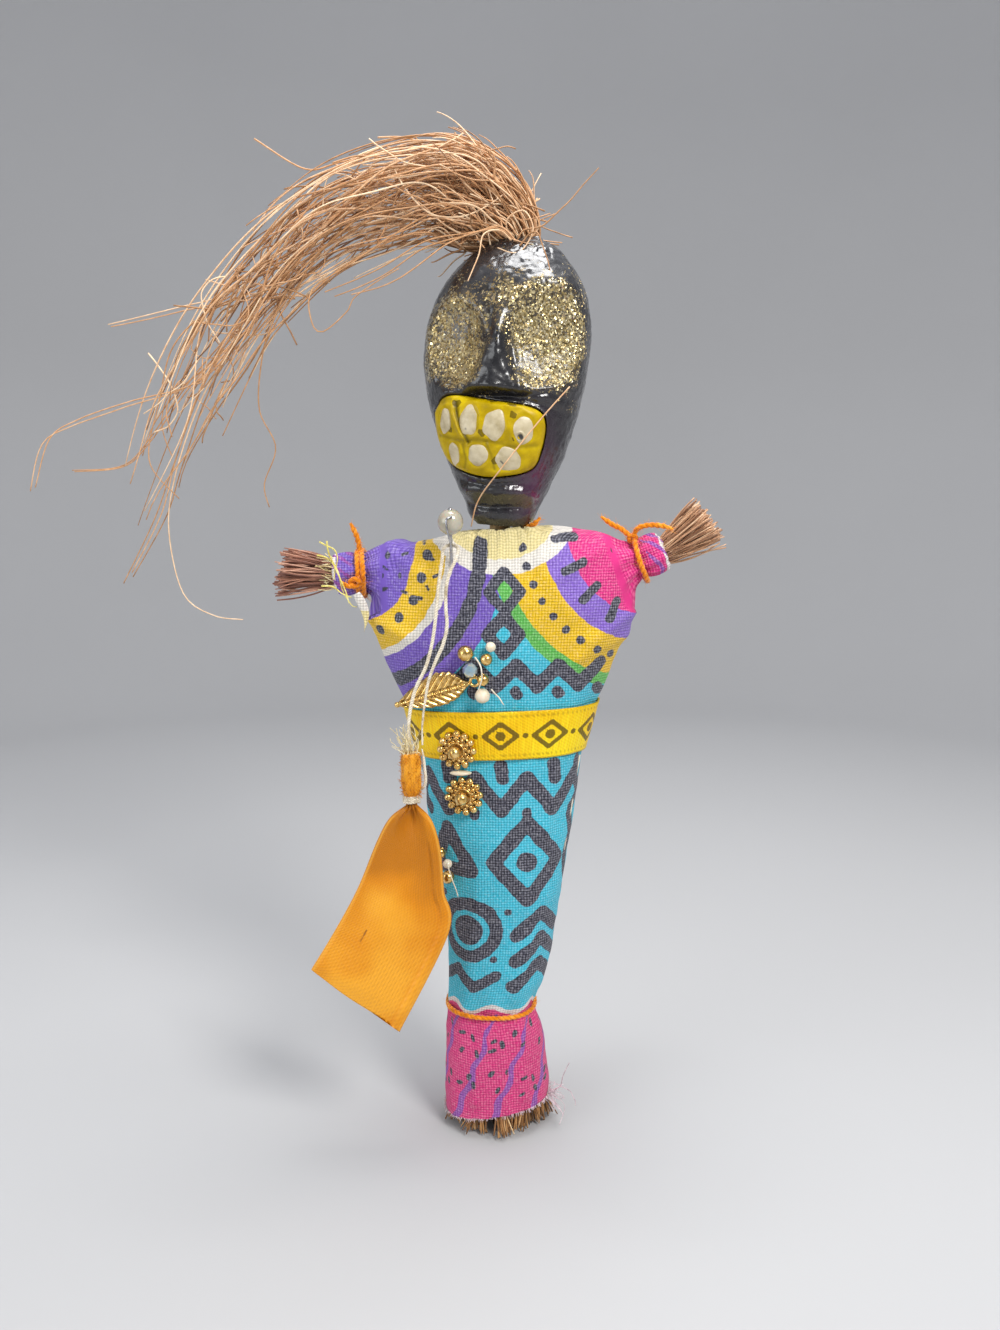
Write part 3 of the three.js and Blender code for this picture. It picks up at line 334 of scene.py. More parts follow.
class Look:
    """A material with a principled shader, and short names for the nodes that feed it."""

    def __init__(self, name, **sockets):
        self.material = bpy.data.materials.new(name)
        self.material.use_nodes = True
        self.tree = self.material.node_tree
        self.shader = self.tree.nodes["Principled BSDF"]
        for key, value in sockets.items():
            self.shader.inputs[key.replace("_", " ")].default_value = value

    def feed(self, **sockets):
        """Links values to the shader and gives the finished material."""
        for key, value in sockets.items():
            self.tree.links.new(value, self.shader.inputs[key.replace("_", " ")])
        return self.material

    def node(self, kind, inputs, **settings):
        node = self.tree.nodes.new("ShaderNode" + kind)
        for key, value in settings.items():
            setattr(node, key, value)
        for key, value in inputs.items():
            if isinstance(value, bpy.types.NodeSocket):
                self.tree.links.new(value, node.inputs[key])
            elif value is not None:
                node.inputs[key].default_value = value
        return node

    def value(self, name, output="Fac"):
        return self.node("Attribute", {}, attribute_name=name).outputs[output]

    def weave(self, *scale):
        """The piece's weave attribute, stretched."""
        return self.stretch(self.value("weave", "Vector"), scale)

    def place(self):
        return self.node("TexCoord", {}).outputs["Object"]

    def stretch(self, vector, scale):
        return self.node("Mapping", {"Vector": vector, "Scale": scale}).outputs["Vector"]

    def math(self, operation, a, b=None, c=None, clamp=False):
        return self.node("Math", {0: a, 1: b, 2: c}, operation=operation, use_clamp=clamp).outputs[0]

    def add(self, a, b):
        return self.math("ADD", a, b)

    def take(self, a, b):
        return self.math("SUBTRACT", a, b)

    def mul(self, a, b):
        return self.math("MULTIPLY", a, b)

    def mad(self, a, b, c, clamp=False):
        """a times b, plus c."""
        return self.math("MULTIPLY_ADD", a, b, c, clamp)

    def wave(self, value, pitch):
        return self.math("SINE", self.mul(value, pitch))

    def arrow(self, operation, inputs):
        return self.node("VectorMath", inputs, operation=operation).outputs[0]

    def noise(self, scale, detail=2.0, rough=0.5, vector=None):
        vector = self.place() if vector is None else vector
        inputs = {"Vector": vector, "Scale": scale, "Detail": detail, "Roughness": rough}
        return self.node("TexNoise", inputs).outputs["Fac"]

    def cells(self, scale):
        return self.node("TexVoronoi", {"Vector": self.place(), "Scale": scale}).outputs["Color"]

    def range(self, value, low, high, to_low=0.0, to_high=1.0):
        inputs = {"Value": value, "From Min": low, "From Max": high, "To Min": to_low, "To Max": to_high}
        return self.node("MapRange", inputs, clamp=True).outputs["Result"]

    def mix(self, share, a, b, blend="MIX"):
        inputs = {0: share, 6: paint(a), 7: paint(b)}
        return self.node("Mix", inputs, data_type="RGBA", blend_type=blend).outputs[2]

    def ramp(self, value, stops):
        node = self.node("ValToRGB", {"Fac": value})
        elements = node.color_ramp.elements
        while len(elements) < len(stops):
            elements.new(0.5)
        for element, (position, colour) in zip(elements, stops):
            element.position = position
            element.color = paint(colour)
        return node.outputs["Color"]

    def bump(self, height, distance, strength):
        inputs = {"Height": height, "Distance": distance * MM, "Strength": strength}
        return self.node("Bump", inputs).outputs["Normal"]

    def split(self, vector):
        return self.node("SeparateXYZ", {0: vector}).outputs


def plain_look(name, stops, grain, rough, bumps=None, marking=None, along=1, **sockets):
    """Material of one noisy colour, and of a second colour mixed in by an attribute.

    grain, rough and bumps start with the scale and detail of their noise. rough ends with the least and most
    roughness, and bumps with height and strength; along stretches the bumps.
    """
    look = Look(name, **sockets)
    colour = look.ramp(look.noise(*grain), stops)
    if marking:
        colour = look.mix(look.value(marking[0]), colour, marking[1])
    if bumps:
        vector = None if along == 1 else look.stretch(look.place(), (1, 1, along))
        look.feed(Normal=look.bump(look.noise(*bumps[:-2], vector=vector), *bumps[-2:]))
    return look.feed(Base_Color=colour, Roughness=look.range(look.noise(*rough[:2]), 0.3, 0.7, *rough[2:]))


CLOTH_BASE, WEAVE_PITCH = 0x40C6E0, math.pi / 0.55
# Print: bands of colour, each a distance that is positive inside it, later ones over earlier ones
PRINT_COLOURS = [0x7A5CC4, 0xF0EADF, 0xF2C40E, 0x7A5CC4, 0x63BE55, 0xF2C40E, 0x8A68CC, 0xE02C84, 0xEFE9DF,
                 0xF3E2A0, 0xE23A82, 0xECE4E0, 0x9B4FAE]
PRINT_ZONES = [(f"band_{number}", code) for number, code in enumerate(PRINT_COLOURS, 1)]


def make_cloth():
    """Printed cloth, woven by the piece's weave attribute in millimetres along its two threads."""
    look = Look("printed_cotton", Roughness=0.85, Sheen_Weight=0.12, Sheen_Roughness=0.5,
                Specular_IOR_Level=0.2)
    across, up, _ = look.split(look.value("weave", "Vector"))
    woven = look.take(1.0, look.value("plain"))
    warp, weft = look.wave(across, WEAVE_PITCH), look.wave(up, WEAVE_PITCH)
    threads = look.add(look.math("ABSOLUTE", warp), look.math("ABSOLUTE", weft))
    slubs = look.add(*(look.noise(1.0, 3, vector=look.weave(*scale))
                       for scale in ((0.9, 7.0, 1), (7.0, 0.9, 1))))
    height = look.mad(slubs, 1.1, look.mad(look.mul(warp, weft), 0.16, threads))
    height = look.mad(look.take(height, 2.1), woven, 2.1)
    slubs = look.mad(look.take(slubs, 1.0), woven, 1.0)

    edge = look.mad(look.noise(420, 3, 0.6), 0.9, -0.45)
    colour = CLOTH_BASE
    for name, code in PRINT_ZONES:
        colour = look.mix(look.range(look.add(look.value(name), edge), -0.07, 0.07), colour, code)
    tone = look.ramp(look.noise(90, 3), [(0.3, (0.75, 0.75, 0.78, 1)), (0.7, (1, 1, 1, 1))])
    colour = look.mix(0.5, colour, tone, "MULTIPLY")
    speckle = look.range(look.mad(height, 0.2, look.mul(slubs, 0.5)), 0.85, 1.25)
    ink = look.range(look.add(look.value("ink"), edge), -0.08, 0.08)
    colour = look.mix(ink, colour, look.mix(speckle, 0x2B2B36, 0x6A6C80))
    colour = look.mix(look.range(look.mad(height, 0.2, slubs), 1.4, 1.9, 0.0, 0.22), colour, 0xF4F1EA)
    # Painted shade and highlight of the weave: the colour darkens in the grooves between the threads and
    # lightens a little on their tops.
    groove = look.range(height, 1.1, 3.1, 0.58, 1.14)
    shade = look.node("CombineColor", {0: groove, 1: groove, 2: groove}).outputs[0]
    return look.feed(Base_Color=look.mix(0.8, colour, shade, "MULTIPLY"), Normal=look.bump(height, 0.09, 1.0))


def make_clay():
    """Varnished black clay with gold flakes where the glitter attribute is high."""
    look = Look("black_clay", Coat_Roughness=0.12, Specular_IOR_Level=0.45)
    mask = look.add(look.value("glitter"), look.mad(look.noise(330, 4, 0.7), 1.5, -0.78))
    mask = look.add(mask, look.range(look.noise(150, 3, 0.6), 0.3, 0.5, -0.34, 0.06))
    tone = look.range(look.noise(160, 3), 0.35, 0.75)
    base = look.mix(tone, (0.006, 0.006, 0.008, 1), (0.028, 0.027, 0.03, 1))
    # Painted sheen: a purple cast over the lower right of the face, where the head marks it.
    base = look.mix(look.mul(look.value("violet"), 0.8), base, 0x4A1B40)
    base = look.mix(look.range(mask, 0.1, 0.7, 0.0, 0.75), base, 0x5A5040)
    cell = look.cells(3300)
    chance, tone, _ = look.split(cell)
    flake = look.math("LESS_THAN", chance, look.range(mask, 0.05, 0.75, 0.0, 0.9))
    gold = look.ramp(tone, [(0.0, 0x54452C), (0.35, 0xA8925E), (0.65, 0xDCCB9A), (1.0, 0xF4E9C8)])
    tilt = look.arrow("SUBTRACT", {0: cell, 1: (0.5, 0.5, 0.5)})
    sway = look.arrow("SCALE", {0: tilt, 3: look.mul(flake, 1.5)})
    grain = look.mad(look.noise(900, 4, 0.65), 0.5, look.noise(260, 3))
    facing = look.arrow("ADD", {0: look.bump(grain, 0.35, 0.5), 1: sway})
    return look.feed(Base_Color=look.mix(flake, base, gold), Metallic=look.mul(flake, 0.75),
                     Coat_Weight=look.range(mask, 0.1, 0.6, 0.6, 0.15),
                     Roughness=look.range(look.noise(700, 3), 0.3, 0.75, 0.16, 0.42),
                     Normal=look.arrow("NORMALIZE", {0: facing}))


def make_mouth_clay():
    look = Look("yellow_clay", Coat_Weight=0.06, Coat_Roughness=0.2, Specular_IOR_Level=0.18)
    colour = look.ramp(look.noise(240, 4, 0.6), [(0.3, 0xA08600), (0.5, 0xBC9E00), (0.72, 0xD6BC04)])
    # Painted shade: the mouth's creases darken to a deep olive.
    colour = look.mix(look.value("crease"), colour, 0x5E5208)
    fleck = look.math("LESS_THAN", look.split(look.cells(900))[0], 0.02)
    return look.feed(Base_Color=look.mix(look.mul(fleck, 0.7), colour, 0x3A2E08),
                     Roughness=look.range(look.noise(500, 3), 0.3, 0.7, 0.28, 0.5),
                     Normal=look.bump(look.noise(520, 4, 0.6), 0.25, 0.6))


def make_fibre(name, *stops):
    """Coir or straw whose tone runs through the stops with the tint attribute."""
    look = Look(name, Specular_IOR_Level=0.45, Sheen_Weight=0.1)
    grain = look.noise(650, 3, 0.7)
    shade = look.mad(grain, 0.5, look.take(look.value("tint"), 0.25), clamp=True)
    return look.feed(Base_Color=look.ramp(shade, stops), Roughness=look.range(grain, 0.3, 0.7, 0.37, 0.6),
                     Normal=look.bump(look.noise(2600, 2), 0.04, 0.5))


def make_satin(name, deep, code, pale, edge_code, motif_code, streaks, twill, metal, painted_light_slope):
    """Ribbed satin; its last argument paints light and shade: an axis of the weave, two places on it and the
    change of tone at each.
    """
    look = Look(name, Roughness=0.36, Sheen_Weight=0.08, Sheen_Roughness=0.3, Anisotropic=0.5, Metallic=metal,
                Specular_IOR_Level=0.3)
    weave = look.split(look.value("weave", "Vector"))
    ribs = look.wave(weave[0], 2 * math.pi / 0.6)
    fine = look.wave(look.add(weave[1], look.mul(weave[0], 0.6)), 2 * math.pi / twill)
    streak = look.noise(1.0, 3, 0.6, look.weave(5.0, 0.25, 1))
    tone = look.mad(streak, streaks, look.mul(look.noise(70, 2), 1.1 - streaks))
    tone = look.mad(look.add(fine, ribs), 0.025, tone)
    # Painted light and shade: the tone falls at one place on the weave axis and rises at the other.
    tone = look.add(tone, look.range(weave[painted_light_slope[0]], *painted_light_slope[1:]))
    colour = look.ramp(tone, [(0.3, deep), (0.52, code), (0.78, pale)])
    colour = look.mix(look.range(look.value("edge"), 0.0, 1.0), colour, edge_code)
    ink = look.add(look.value("ink"), look.mad(look.noise(1500, 2), 0.2, -0.1))
    colour = look.mix(look.range(ink, -0.06, 0.06, 0.0, 0.85), colour, motif_code)
    height = look.mad(streak, 3 * streaks, look.mad(fine, 0.4, look.mul(ribs, 0.6)))
    return look.feed(Base_Color=colour, Normal=look.bump(height, 0.05, 0.8))


def make_gold():
    look = Look("gilt_metal", Metallic=0.95)
    grain, cavity_shade = look.noise(1500, 4, 0.6), look.value("cavity_shade")
    colour = look.ramp(grain, [(0.3, 0xC0924A), (0.5, 0xE6BE70), (0.72, 0xFFE2A8)])
    # Painted shade: the cavity value darkens the gilt towards a dark brown in the rosettes' holes, a little
    # over their discs between the granules, and in the leaf's grooves.
    return look.feed(Base_Color=look.mix(cavity_shade, colour, 0x2E2010),
                     Normal=look.bump(look.noise(900, 3), 0.08, 0.35),
                     Roughness=look.range(look.add(grain, look.mul(cavity_shade, 0.4)), 0.35, 0.9, 0.14, 0.5))


def make_wood():
    look = Look("birch_stick", Roughness=0.7)
    rings = look.noise(1800, 4, 0.6, look.stretch(look.place(), (1, 1, 0.05)))
    return look.feed(Base_Color=look.ramp(rings, [(0.3, 0x9A7A4E), (0.7, 0xD2B384)]),
                     Normal=look.bump(rings, 0.08, 0.6))


def make_pearl_look():
    look = Look("pearl_glass", Coat_Weight=0.8, Coat_Roughness=0.08, Subsurface_Weight=0.3,
                Subsurface_Scale=0.001)
    facing = look.node("LayerWeight", {"Blend": 0.4}).outputs["Facing"]
    colour = look.ramp(look.noise(260, 3), [(0.3, 0xA49C86), (0.7, 0xC6C0AE)])
    # Painted sheen: the colour turns grey towards the rim as the surface faces away.
    return look.feed(Base_Color=look.mix(look.mul(facing, 0.35), colour, 0xA29C96),
                     Roughness=look.range(look.noise(700, 2), 0.3, 0.7, 0.18, 0.3),
                     Normal=look.bump(look.noise(500, 3), 0.05, 0.4))


def make_yarn_look(name, deep, main, pale):
    look = Look(name, Roughness=0.9, Sheen_Weight=0.6, Sheen_Roughness=0.4, Specular_IOR_Level=0.2)
    tone = look.take(look.mad(look.noise(180, 2), 0.6, look.noise(900, 4, 0.7)), 0.3)
    colour = look.ramp(tone, [(0.25, deep), (0.5, main), (0.75, pale)])
    # Painted shade: the yarn darkens towards its deep colour in the grooves between its plies.
    groove = look.range(look.value("groove"), 0.35, 1.0, 0.0, 0.85)
    return look.feed(Base_Color=look.mix(groove, colour, deep),
                     Normal=look.bump(look.noise(2600, 4, 0.7), 0.09, 0.7))


# Body: the same outline as the solid, with the print, gathers and folds of the real cloth

ANKLE, BELT, BELT_WIDTH, BELT_THICK, BELT_SLOPE, BELT_LAP = 26.1, 85, 9.5, 0.4, 0.03, 0.45
CHEST, COLLAR, HEM, HEM_SLOPE, CLEARANCE = 107.5, 123.6, 5.1, 0.16, 0.3
BODY_ROWS = [(2, 10.9, 8.7, -0.6), (10, 10.9, 8.5, -0.6), (21, 9.9, 7.9, -1.3), (ANKLE, 8.7, 7.3, -1.8),
             (33, 9.9, 8, -0.6), (47, 11.6, 8.8, 0.2), (65, 14.3, 9.6, 0.2), (BELT, 17.4, 10, 0.1),
             (98.5, 22.5, 11.5, 0), (CHEST, 25.8, 12, 0.4), (113, 25, 11.5, 0.5), (118, 23.8, 9.9, 0.5),
             (121.6, 19.6, 7.8, 0.5), (123.1, 12.5, 6.6, 0.4), (COLLAR, 7.4, 6, 0.3)]
FULLNESS = 0.87
ARMS = {"left": {"tie": (-27, -0.5, 115.2), "sleeve": (-1, -0.03, -0.03), "bristles": (-1, -0.05, 0.02)},
        "right": {"tie": (27, -0.5, 117.8), "sleeve": (0.94, -0.04, 0.33), "bristles": (0.83, -0.08, 0.55)}}
SLEEVE_ROWS = [(-9, 6.4), (-4, 5.4), (-1.2, 3.8), (0, 3.5), (1.4, 3.9), (3.2, 4.1), (5.2, 3.7)]
CUFF_END, SKIN_VOXEL = 5.2, 0.5
LEFT_RINGS, RIGHT_RINGS = (-31, 120), (29, 124)
# Dark strokes of one repeat round the body: width, closed, mirrored to the sides, and places round and up
PRINT_STROKES = [
    (2.8, False, False, [(px, 76.5 if px % 10 else 70) for px in range(-20, 25, 5)]),
    (3, True, True, [(5, 67.5), (11.5, 59.5), (5, 51.5), (-1.5, 59.5)]),
    (2.8, True, True, [(-10.5, 66), (-5.8, 57.5), (-14, 57.5)]),
    (2.4, False, False, [(-13, 33), (-8.5, 36), (-4.5, 32.6), (-0.5, 35.4)]),
    (2.4, False, True, [(14.6, 68), (15.9, 63.5), (14.3, 59), (15.6, 54.6)]),
    (2.4, False, True, [(-16.6, 49), (-18, 44.5), (-16.5, 40)]),
    (2.2, False, True, [(15.8, 46), (15.4, 40), (17.2, 34.5)]),
    *[(2.6, False, False, [(px, 79), (px + 0.4, 76.4)]) for px in (-20, -10, 0, 10)],
    *[(1.9, False, False, [(px, 69.6), (px, 68.8)]) for px in (-15, -5, 5, 15)],
    *[(2.8, False, True, [(3.2, low - 2), (8.2, low + 2.4), (13.2, low - 2)]) for low in (46, 40.5, 35)]]
PRINT_DOTS = [(-12.6, 51.6), (1.2, 49), (-1.2, 39), (-13.5, 39.5), (15.5, 52), (17, 64), (-17.5, 62)]
# Folds of the cloth: both ends, width and height
FOLDS = [((27, 109), (17, 103), 1.5, 0.55), ((25, 104), (15, 100), 1.3, 0.4),
         ((-27, 108), (-18, 104), 1.4, 0.5), ((-22, 121), (-12, 113), 1.6, 0.4),
         ((20, 121), (11, 115), 1.5, 0.4), ((-6, 119), (-13, 109), 1.5, 0.4),
         ((7, 118), (13, 108), 1.6, 0.35), ((11, 80), (9, 66), 1.4, 0.4), ((-12, 79), (-10, 70), 1.3, 0.3),
         ((-4, 56), (-6, 34), 1.6, 0.35), ((6, 44), (3, 30), 1.3, 0.35), ((-3, 24), (-5, 8), 1.2, 0.4),
         ((4, 25), (5, 9), 1.1, 0.35), ((0, 24), (1.5, 6), 0.9, 0.25)]


def shoulder_lean(z):
    return 0.07 * smooth(BELT + BELT_WIDTH, CHEST + BELT_WIDTH, z)


def body_size(z):
    """Half width, half depth and middle of the body at a height."""
    return [through(BODY_ROWS, column, z) for column in (1, 2, 3)]


def body_point(z, angle, inset=0.0):
    z, angle = np.broadcast_arrays(np.asarray(z, float), np.asarray(angle, float))
    wide, deep, middle = body_size(z)
    x = (wide - inset) * bulge(np.cos(angle), FULLNESS)
    y = (deep - inset) * bulge(np.sin(angle), FULLNESS)
    return np.stack([x + middle, y, z + shoulder_lean(z) * x - inset * smooth(CHEST, COLLAR, z)], axis=-1)


def body_front(x, z):
    row = np.asarray(z, float)
    for _ in range(4):
        row = z - shoulder_lean(row) * (x - through(BODY_ROWS, 3, row))
    wide, deep, middle = body_size(row)
    share = np.abs(x - middle) / wide
    power = 2 / FULLNESS
    return -deep * (1 - np.minimum(share, 1) ** power) ** (1 / power)


def arm_frame(arm):
    way = unit(arm["sleeve"])
    return np.array(arm["tie"], float), way, *cross_axes(way)


def remeshed(parts):
    """One smooth skin round closed parts."""
    points, faces = join_parts(parts)
    mesh = bpy.data.meshes.new("rough")
    mesh.from_pydata((points * MM).tolist(), [], faces)
    obj = bpy.data.objects.new("rough", mesh)
    scene.collection.objects.link(obj)
    remesh = obj.modifiers.new("skin", "REMESH")
    remesh.mode = "VOXEL"
    remesh.voxel_size = SKIN_VOXEL * MM
    skin = bpy.data.meshes.new_from_object(obj.evaluated_get(bpy.context.evaluated_depsgraph_get()))
    bpy.data.objects.remove(obj)
    bpy.data.meshes.remove(mesh)
    return skin


def read_mesh(items, key):
    flat = np.zeros(len(items) * 3)
    items.foreach_get(key, flat)
    return flat.reshape(-1, 3)


def set_points(mesh, points):
    mesh.vertices.foreach_set("co", (points * MM).ravel())
    mesh.update()


def relax(mesh, points, rounds, share):
    """Moves points towards the middle of their neighbours; share is a number or one per point."""
    edges = np.zeros(len(mesh.edges) * 2, int)
    mesh.edges.foreach_get("vertices", edges)
    a, b = edges.reshape(-1, 2).T
    count = np.bincount(a, minlength=len(points)) + np.bincount(b, minlength=len(points))
    share = np.broadcast_to(share, len(points))[:, None]
    for _ in range(rounds):
        total = np.stack([np.bincount(a, row[b], len(points)) + np.bincount(b, row[a], len(points))
                          for row in points.T], axis=1)
        points = points + share * (total / np.maximum(count, 1)[:, None] - points)
    return points


def print_zones(s, x, z):
    """Distance into each band of colour: rings round two shoulders, a collar, and the foot's wavy hem."""
    left, right = (np.hypot(x - mx, z - mz) for mx, mz in (LEFT_RINGS, RIGHT_RINGS))
    neck = np.hypot(x * 0.8, z - 127)
    foot = 27.6 + 0.9 * np.cos(s * 0.75) - z
    stripe = np.abs(np.mod(s - 0.42 * (z - 16) + 0.4 * np.sin(z * 0.9), 7.6) - 3.8)
    return [32 - left, 22.5 - left, 21 - left, 15 - left, 31.5 - right, 29 - right, 21.5 - right,
            16.5 - right, 11.5 - neck, 8.6 - neck, foot, 0.5 - np.abs(foot),
            np.minimum(0.5 + 0.02 * (20 - z) - stripe, foot - 1.4)]


def ring_spots(middle, radius, first, last, count):
    turns = np.radians(np.linspace(first, last, count))
    return [(middle[0] + radius * math.cos(a), middle[1] + radius * math.sin(a)) for a in turns]


def print_ink(s, x, z):
    """Distance into the dark strokes; s goes round the cloth and x straight across."""
    ink = np.full(s.shape, -9.0)

    def stroke(across, line, width, closed=False):
        nonlocal ink
        ink = np.maximum(ink, width / 2 - line_distance(across, z, line, closed))

    def dot(across, px, pz, radius):
        nonlocal ink
        ink = np.maximum(ink, radius - np.hypot(across - px, z - pz))

    def dash(across, px, pz, turn, before, after, width):
        dx, dz = math.cos(turn), math.sin(turn)
        stroke(across, [(px - before * dx, pz - before * dz), (px + after * dx, pz + after * dz)], width)

    for turn, mirror in ((0.0, 1), (36.0, -1), (-36.0, -1)):
        for width, closed, mirrored, line in PRINT_STROKES:
            stroke(s, [(px * (mirror if mirrored else 1) + turn, pz) for px, pz in line], width, closed)
        for radius, width in ((5.6, 2.7), (1.6, 3)):
            rim = [(turn - mirror * 6.5 + radius * math.cos(a), 45 + radius * math.sin(a))
                   for a in np.linspace(0, 6.1, 18)]
            stroke(s, rim, width)
        dot(s, turn + mirror * 5, 59.5, 2.0)
        for px, pz in PRINT_DOTS:
            dot(s, px + turn, pz, 0.8)
    stroke(x, [(4 * k - 9, 98.7 if k % 2 else 94.5) for k in range(8)], 2.7)
    for k in range(4):
        stroke(x, [(8 * k - 5.2, 93.6), (8 * k - 4.8, 93)], 2.2)
    for px, pz, width in ((0.8, 112.5, 2.0), (0.6, 104.5, 2.3)):
        stroke(x, [(px, pz + 3.6), (px + 3, pz), (px, pz - 3.6), (px - 3, pz)], width, True)
    for rings, radius, first, last, count, size in (
            (LEFT_RINGS, 17.4, -75, 40, 9, 0.95), (LEFT_RINGS, 9.8, -75, 60, 7, 0.6),
            (RIGHT_RINGS, 25, 188, 276, 12, 0.8), (RIGHT_RINGS, 8.4, 160, 280, 6, 0.6)):
        for px, pz in ring_spots(rings, radius, first, last, count):
            dot(x, px, pz, size)
    for rings, radius, first, last, count, half, width, lean in (
            (LEFT_RINGS, 27.3, -62, -2, 6, 2.1, 2.8, math.pi / 2),
            (RIGHT_RINGS, 17, 186, 262, 5, 1.9, 1.7, 0)):
        for px, pz in ring_spots(rings, radius, first, last, count):
            dash(x, px, pz, math.atan2(pz - rings[1], px - rings[0]) + lean, half, half, width)
    for k in range(26):
        px = -31 + 4.4 * (k % 5) + 1.2 * math.sin(9.1 * k)
        pz = 110.5 + 2.6 * (k // 5) + 0.8 * math.sin(5.3 * k)
        stroke(x, [(px, pz), (px + 1.1 * math.cos(2.3 * k), pz + 0.7 * math.sin(2.3 * k))], 0.62)
    for row, z_dot in enumerate((10.5, 13.2, 19.2, 22)):
        for k in range(-9, 10):
            px = k * 3.6 + row * 1.4 + 1.1 * math.sin(7.3 * k + 2.1 * row)
            pz = z_dot + 1.1 * math.sin(5.1 * k + row)
            dash(s, px, pz, 1.1 + 0.8 * math.sin(3.7 * k + row), 0, 0.9, 0.8)
    return ink


def arc_length(z, angle):
    """Way round the cloth from the middle of the front, in millimetres."""
    wide, deep, _ = body_size(z)
    steps = 24
    turns = [angle * (k + 0.5) / steps for k in range(steps)]
    return sum(np.hypot(wide * np.cos(a), deep * np.sin(a)) / steps for a in turns) * angle


def make_body(material):
    heights = np.concatenate([np.linspace(1, 117, 70), np.linspace(118.2, COLLAR, 14)])
    parts = [closed_grid(body_point(heights[:, None], around(120)))]
    for arm in ARMS.values():
        tie, way, depth, breadth = arm_frame(arm)
        runs = np.linspace(-9, CUFF_END, 20)[:, None, None]
        rims = through(SLEEVE_ROWS, 1, runs) * wheel(around(60), breadth, depth)
        parts.append(closed_grid(tie + way * runs + rims))
    skin = remeshed(parts)
    points = relax(skin, read_mesh(skin.vertices, "co") / MM, 4, 0.5)
    shoulders = [np.array(arm["tie"]) - 4.5 * unit(arm["sleeve"]) for arm in ARMS.values()]
    near = np.maximum(*(bell(np.linalg.norm(points - place, axis=1), 5.5) for place in shoulders))
    points = relax(skin, points, 14, np.clip(near * 1.2, 0, 0.75))
    set_points(skin, points)
    out = read_mesh(skin.vertex_normals, "vector")

    x, y, z = points.T
    wide, deep, middle = body_size(z)
    s = arc_length(z, np.arctan2((x - middle) / wide, -y / deep))
    weave = np.stack([s, z, 0 * s], axis=1)
    lift = 0.32 * lumps(points, 7.0, 3.0) + 0.16 * lumps(points, 2.8, 9.0)
    lift *= 1 - 0.6 * bell(z - BELT, 7)

    arm_share, past_tie, no_weave = 0 * s, 0 * s - 9, 0 * s
    for number, arm in enumerate(ARMS.values()):
        tie, *axes = arm_frame(arm)
        t, deep, wide = ((points - tie) @ np.stack(axes, axis=1)).T
        turn, radius = np.arctan2(deep, wide), np.hypot(deep, wide)
        on_arm = smooth(-6.5, -3.0, t) * (radius < 9)
        arm_share = np.maximum(arm_share, on_arm)
        past_tie = np.where(on_arm > 0.6, t, past_tie)
        # Where the body's weave meets the sleeve's
        no_weave = np.maximum(no_weave, np.clip(2.0 - np.abs(t + 4.75) / 0.5, 0, 1) * (radius < 10))
        pleat = np.cos(9 * turn + 1.7 * np.sin(2 * turn + number) + 0.35 * t)
        lift += 0.34 * pleat * bell(t, 4.2) * (radius < 11) * smooth(-12, -8, t)
        lift -= 0.3 * bell(t, 0.9) * (radius < 6.5)
        sleeve_weave = np.stack([turn * 4 + 60 * number, t, 0 * t], axis=1)
        weave = np.where((on_arm > 0.5)[:, None], sleeve_weave, weave)
        swirl = np.sin(2.2 * radius + turn)
        lift += 0.3 * swirl * smooth(CUFF_END - 0.8, CUFF_END - 0.2, t) * (radius < 4.2)
    body = 1 - arm_share

    gathers = np.cos(13 * np.arctan2(x, -y) + 2.2 * np.sin(1.4 * x))
    lift += 0.42 * gathers * bell(np.hypot(x, z - COLLAR - 0.5) - 5, 5.5) * body
    lift += 0.3 * np.cos(s * 1.05 + 0.8 * np.sin(z * 0.4)) * bell(z - ANKLE, 4.5)
    lift -= 0.35 * bell(z - ANKLE, 0.9)
    lift += 0.14 * np.cos(s * 0.8 + 1.3) * bell(np.abs(z - BELT) - 5.4, 3.2) * body
    lift -= 0.28 * bell(z - BELT - BELT_SLOPE * x, 4.6) * body
    for start, end, width, height in FOLDS:
        for sign in (1, -1):
            lift += 1.6 * height * bell(line_distance(x * sign, z, [start, end]), width) * body * (
                smooth(1.5, -1.5, y * sign))
    set_points(skin, points + out * lift[:, None])

    values = {"weave": weave, "plain": no_weave, "ink": print_ink(s, x, z)}
    for (name, _), inside in zip(PRINT_ZONES, print_zones(s * body + x * arm_share, x, z)):
        values[name] = inside
    on_cuff, specks = past_tie > 1.2, np.abs(np.sin(1.1 * z + 0.8 * x + 0.6 * y))
    values["band_12"] = np.where(on_cuff, past_tie - CUFF_END + 0.75, values["band_12"])
    values["band_13"] = np.where(on_cuff, 0.42 - specks, values["band_13"])
    values["ink"] = np.where(arm_share > 0.6, -np.abs(np.sin(s) * 2 + 2.2), values["ink"])
    write_values(skin, values)

    work = bmesh.new()
    work.from_mesh(skin)
    everything = work.verts[:] + work.edges[:] + work.faces[:]
    bmesh.ops.bisect_plane(work, geom=everything, plane_co=Vector((0, 0, HEM)) * MM,
                           plane_no=Vector((-HEM_SLOPE, 0, 1)).normalized(), clear_inner=True)
    hem = [edge for edge in work.edges if edge.is_boundary]
    for inward, upward in ((0.35, 0.0), (0.5, 5.0)):
        grown = bmesh.ops.extrude_edge_only(work, edges=hem)["geom"]
        hem = [edge for edge in grown if isinstance(edge, bmesh.types.BMEdge) and edge.is_boundary]
        for vertex in {v for edge in hem for v in edge.verts}:
            centre = Vector((-0.6 * MM, 0, vertex.co.z))
            vertex.co += (centre - vertex.co).normalized() * inward * MM + Vector((0, 0, upward * MM))
    bmesh.ops.recalc_face_normals(work, faces=work.faces[:])
    work.to_mesh(skin)
    work.free()
    dress("printed_body", skin, material, ("body_cloth", "stuffing"))


# Yarn and thread

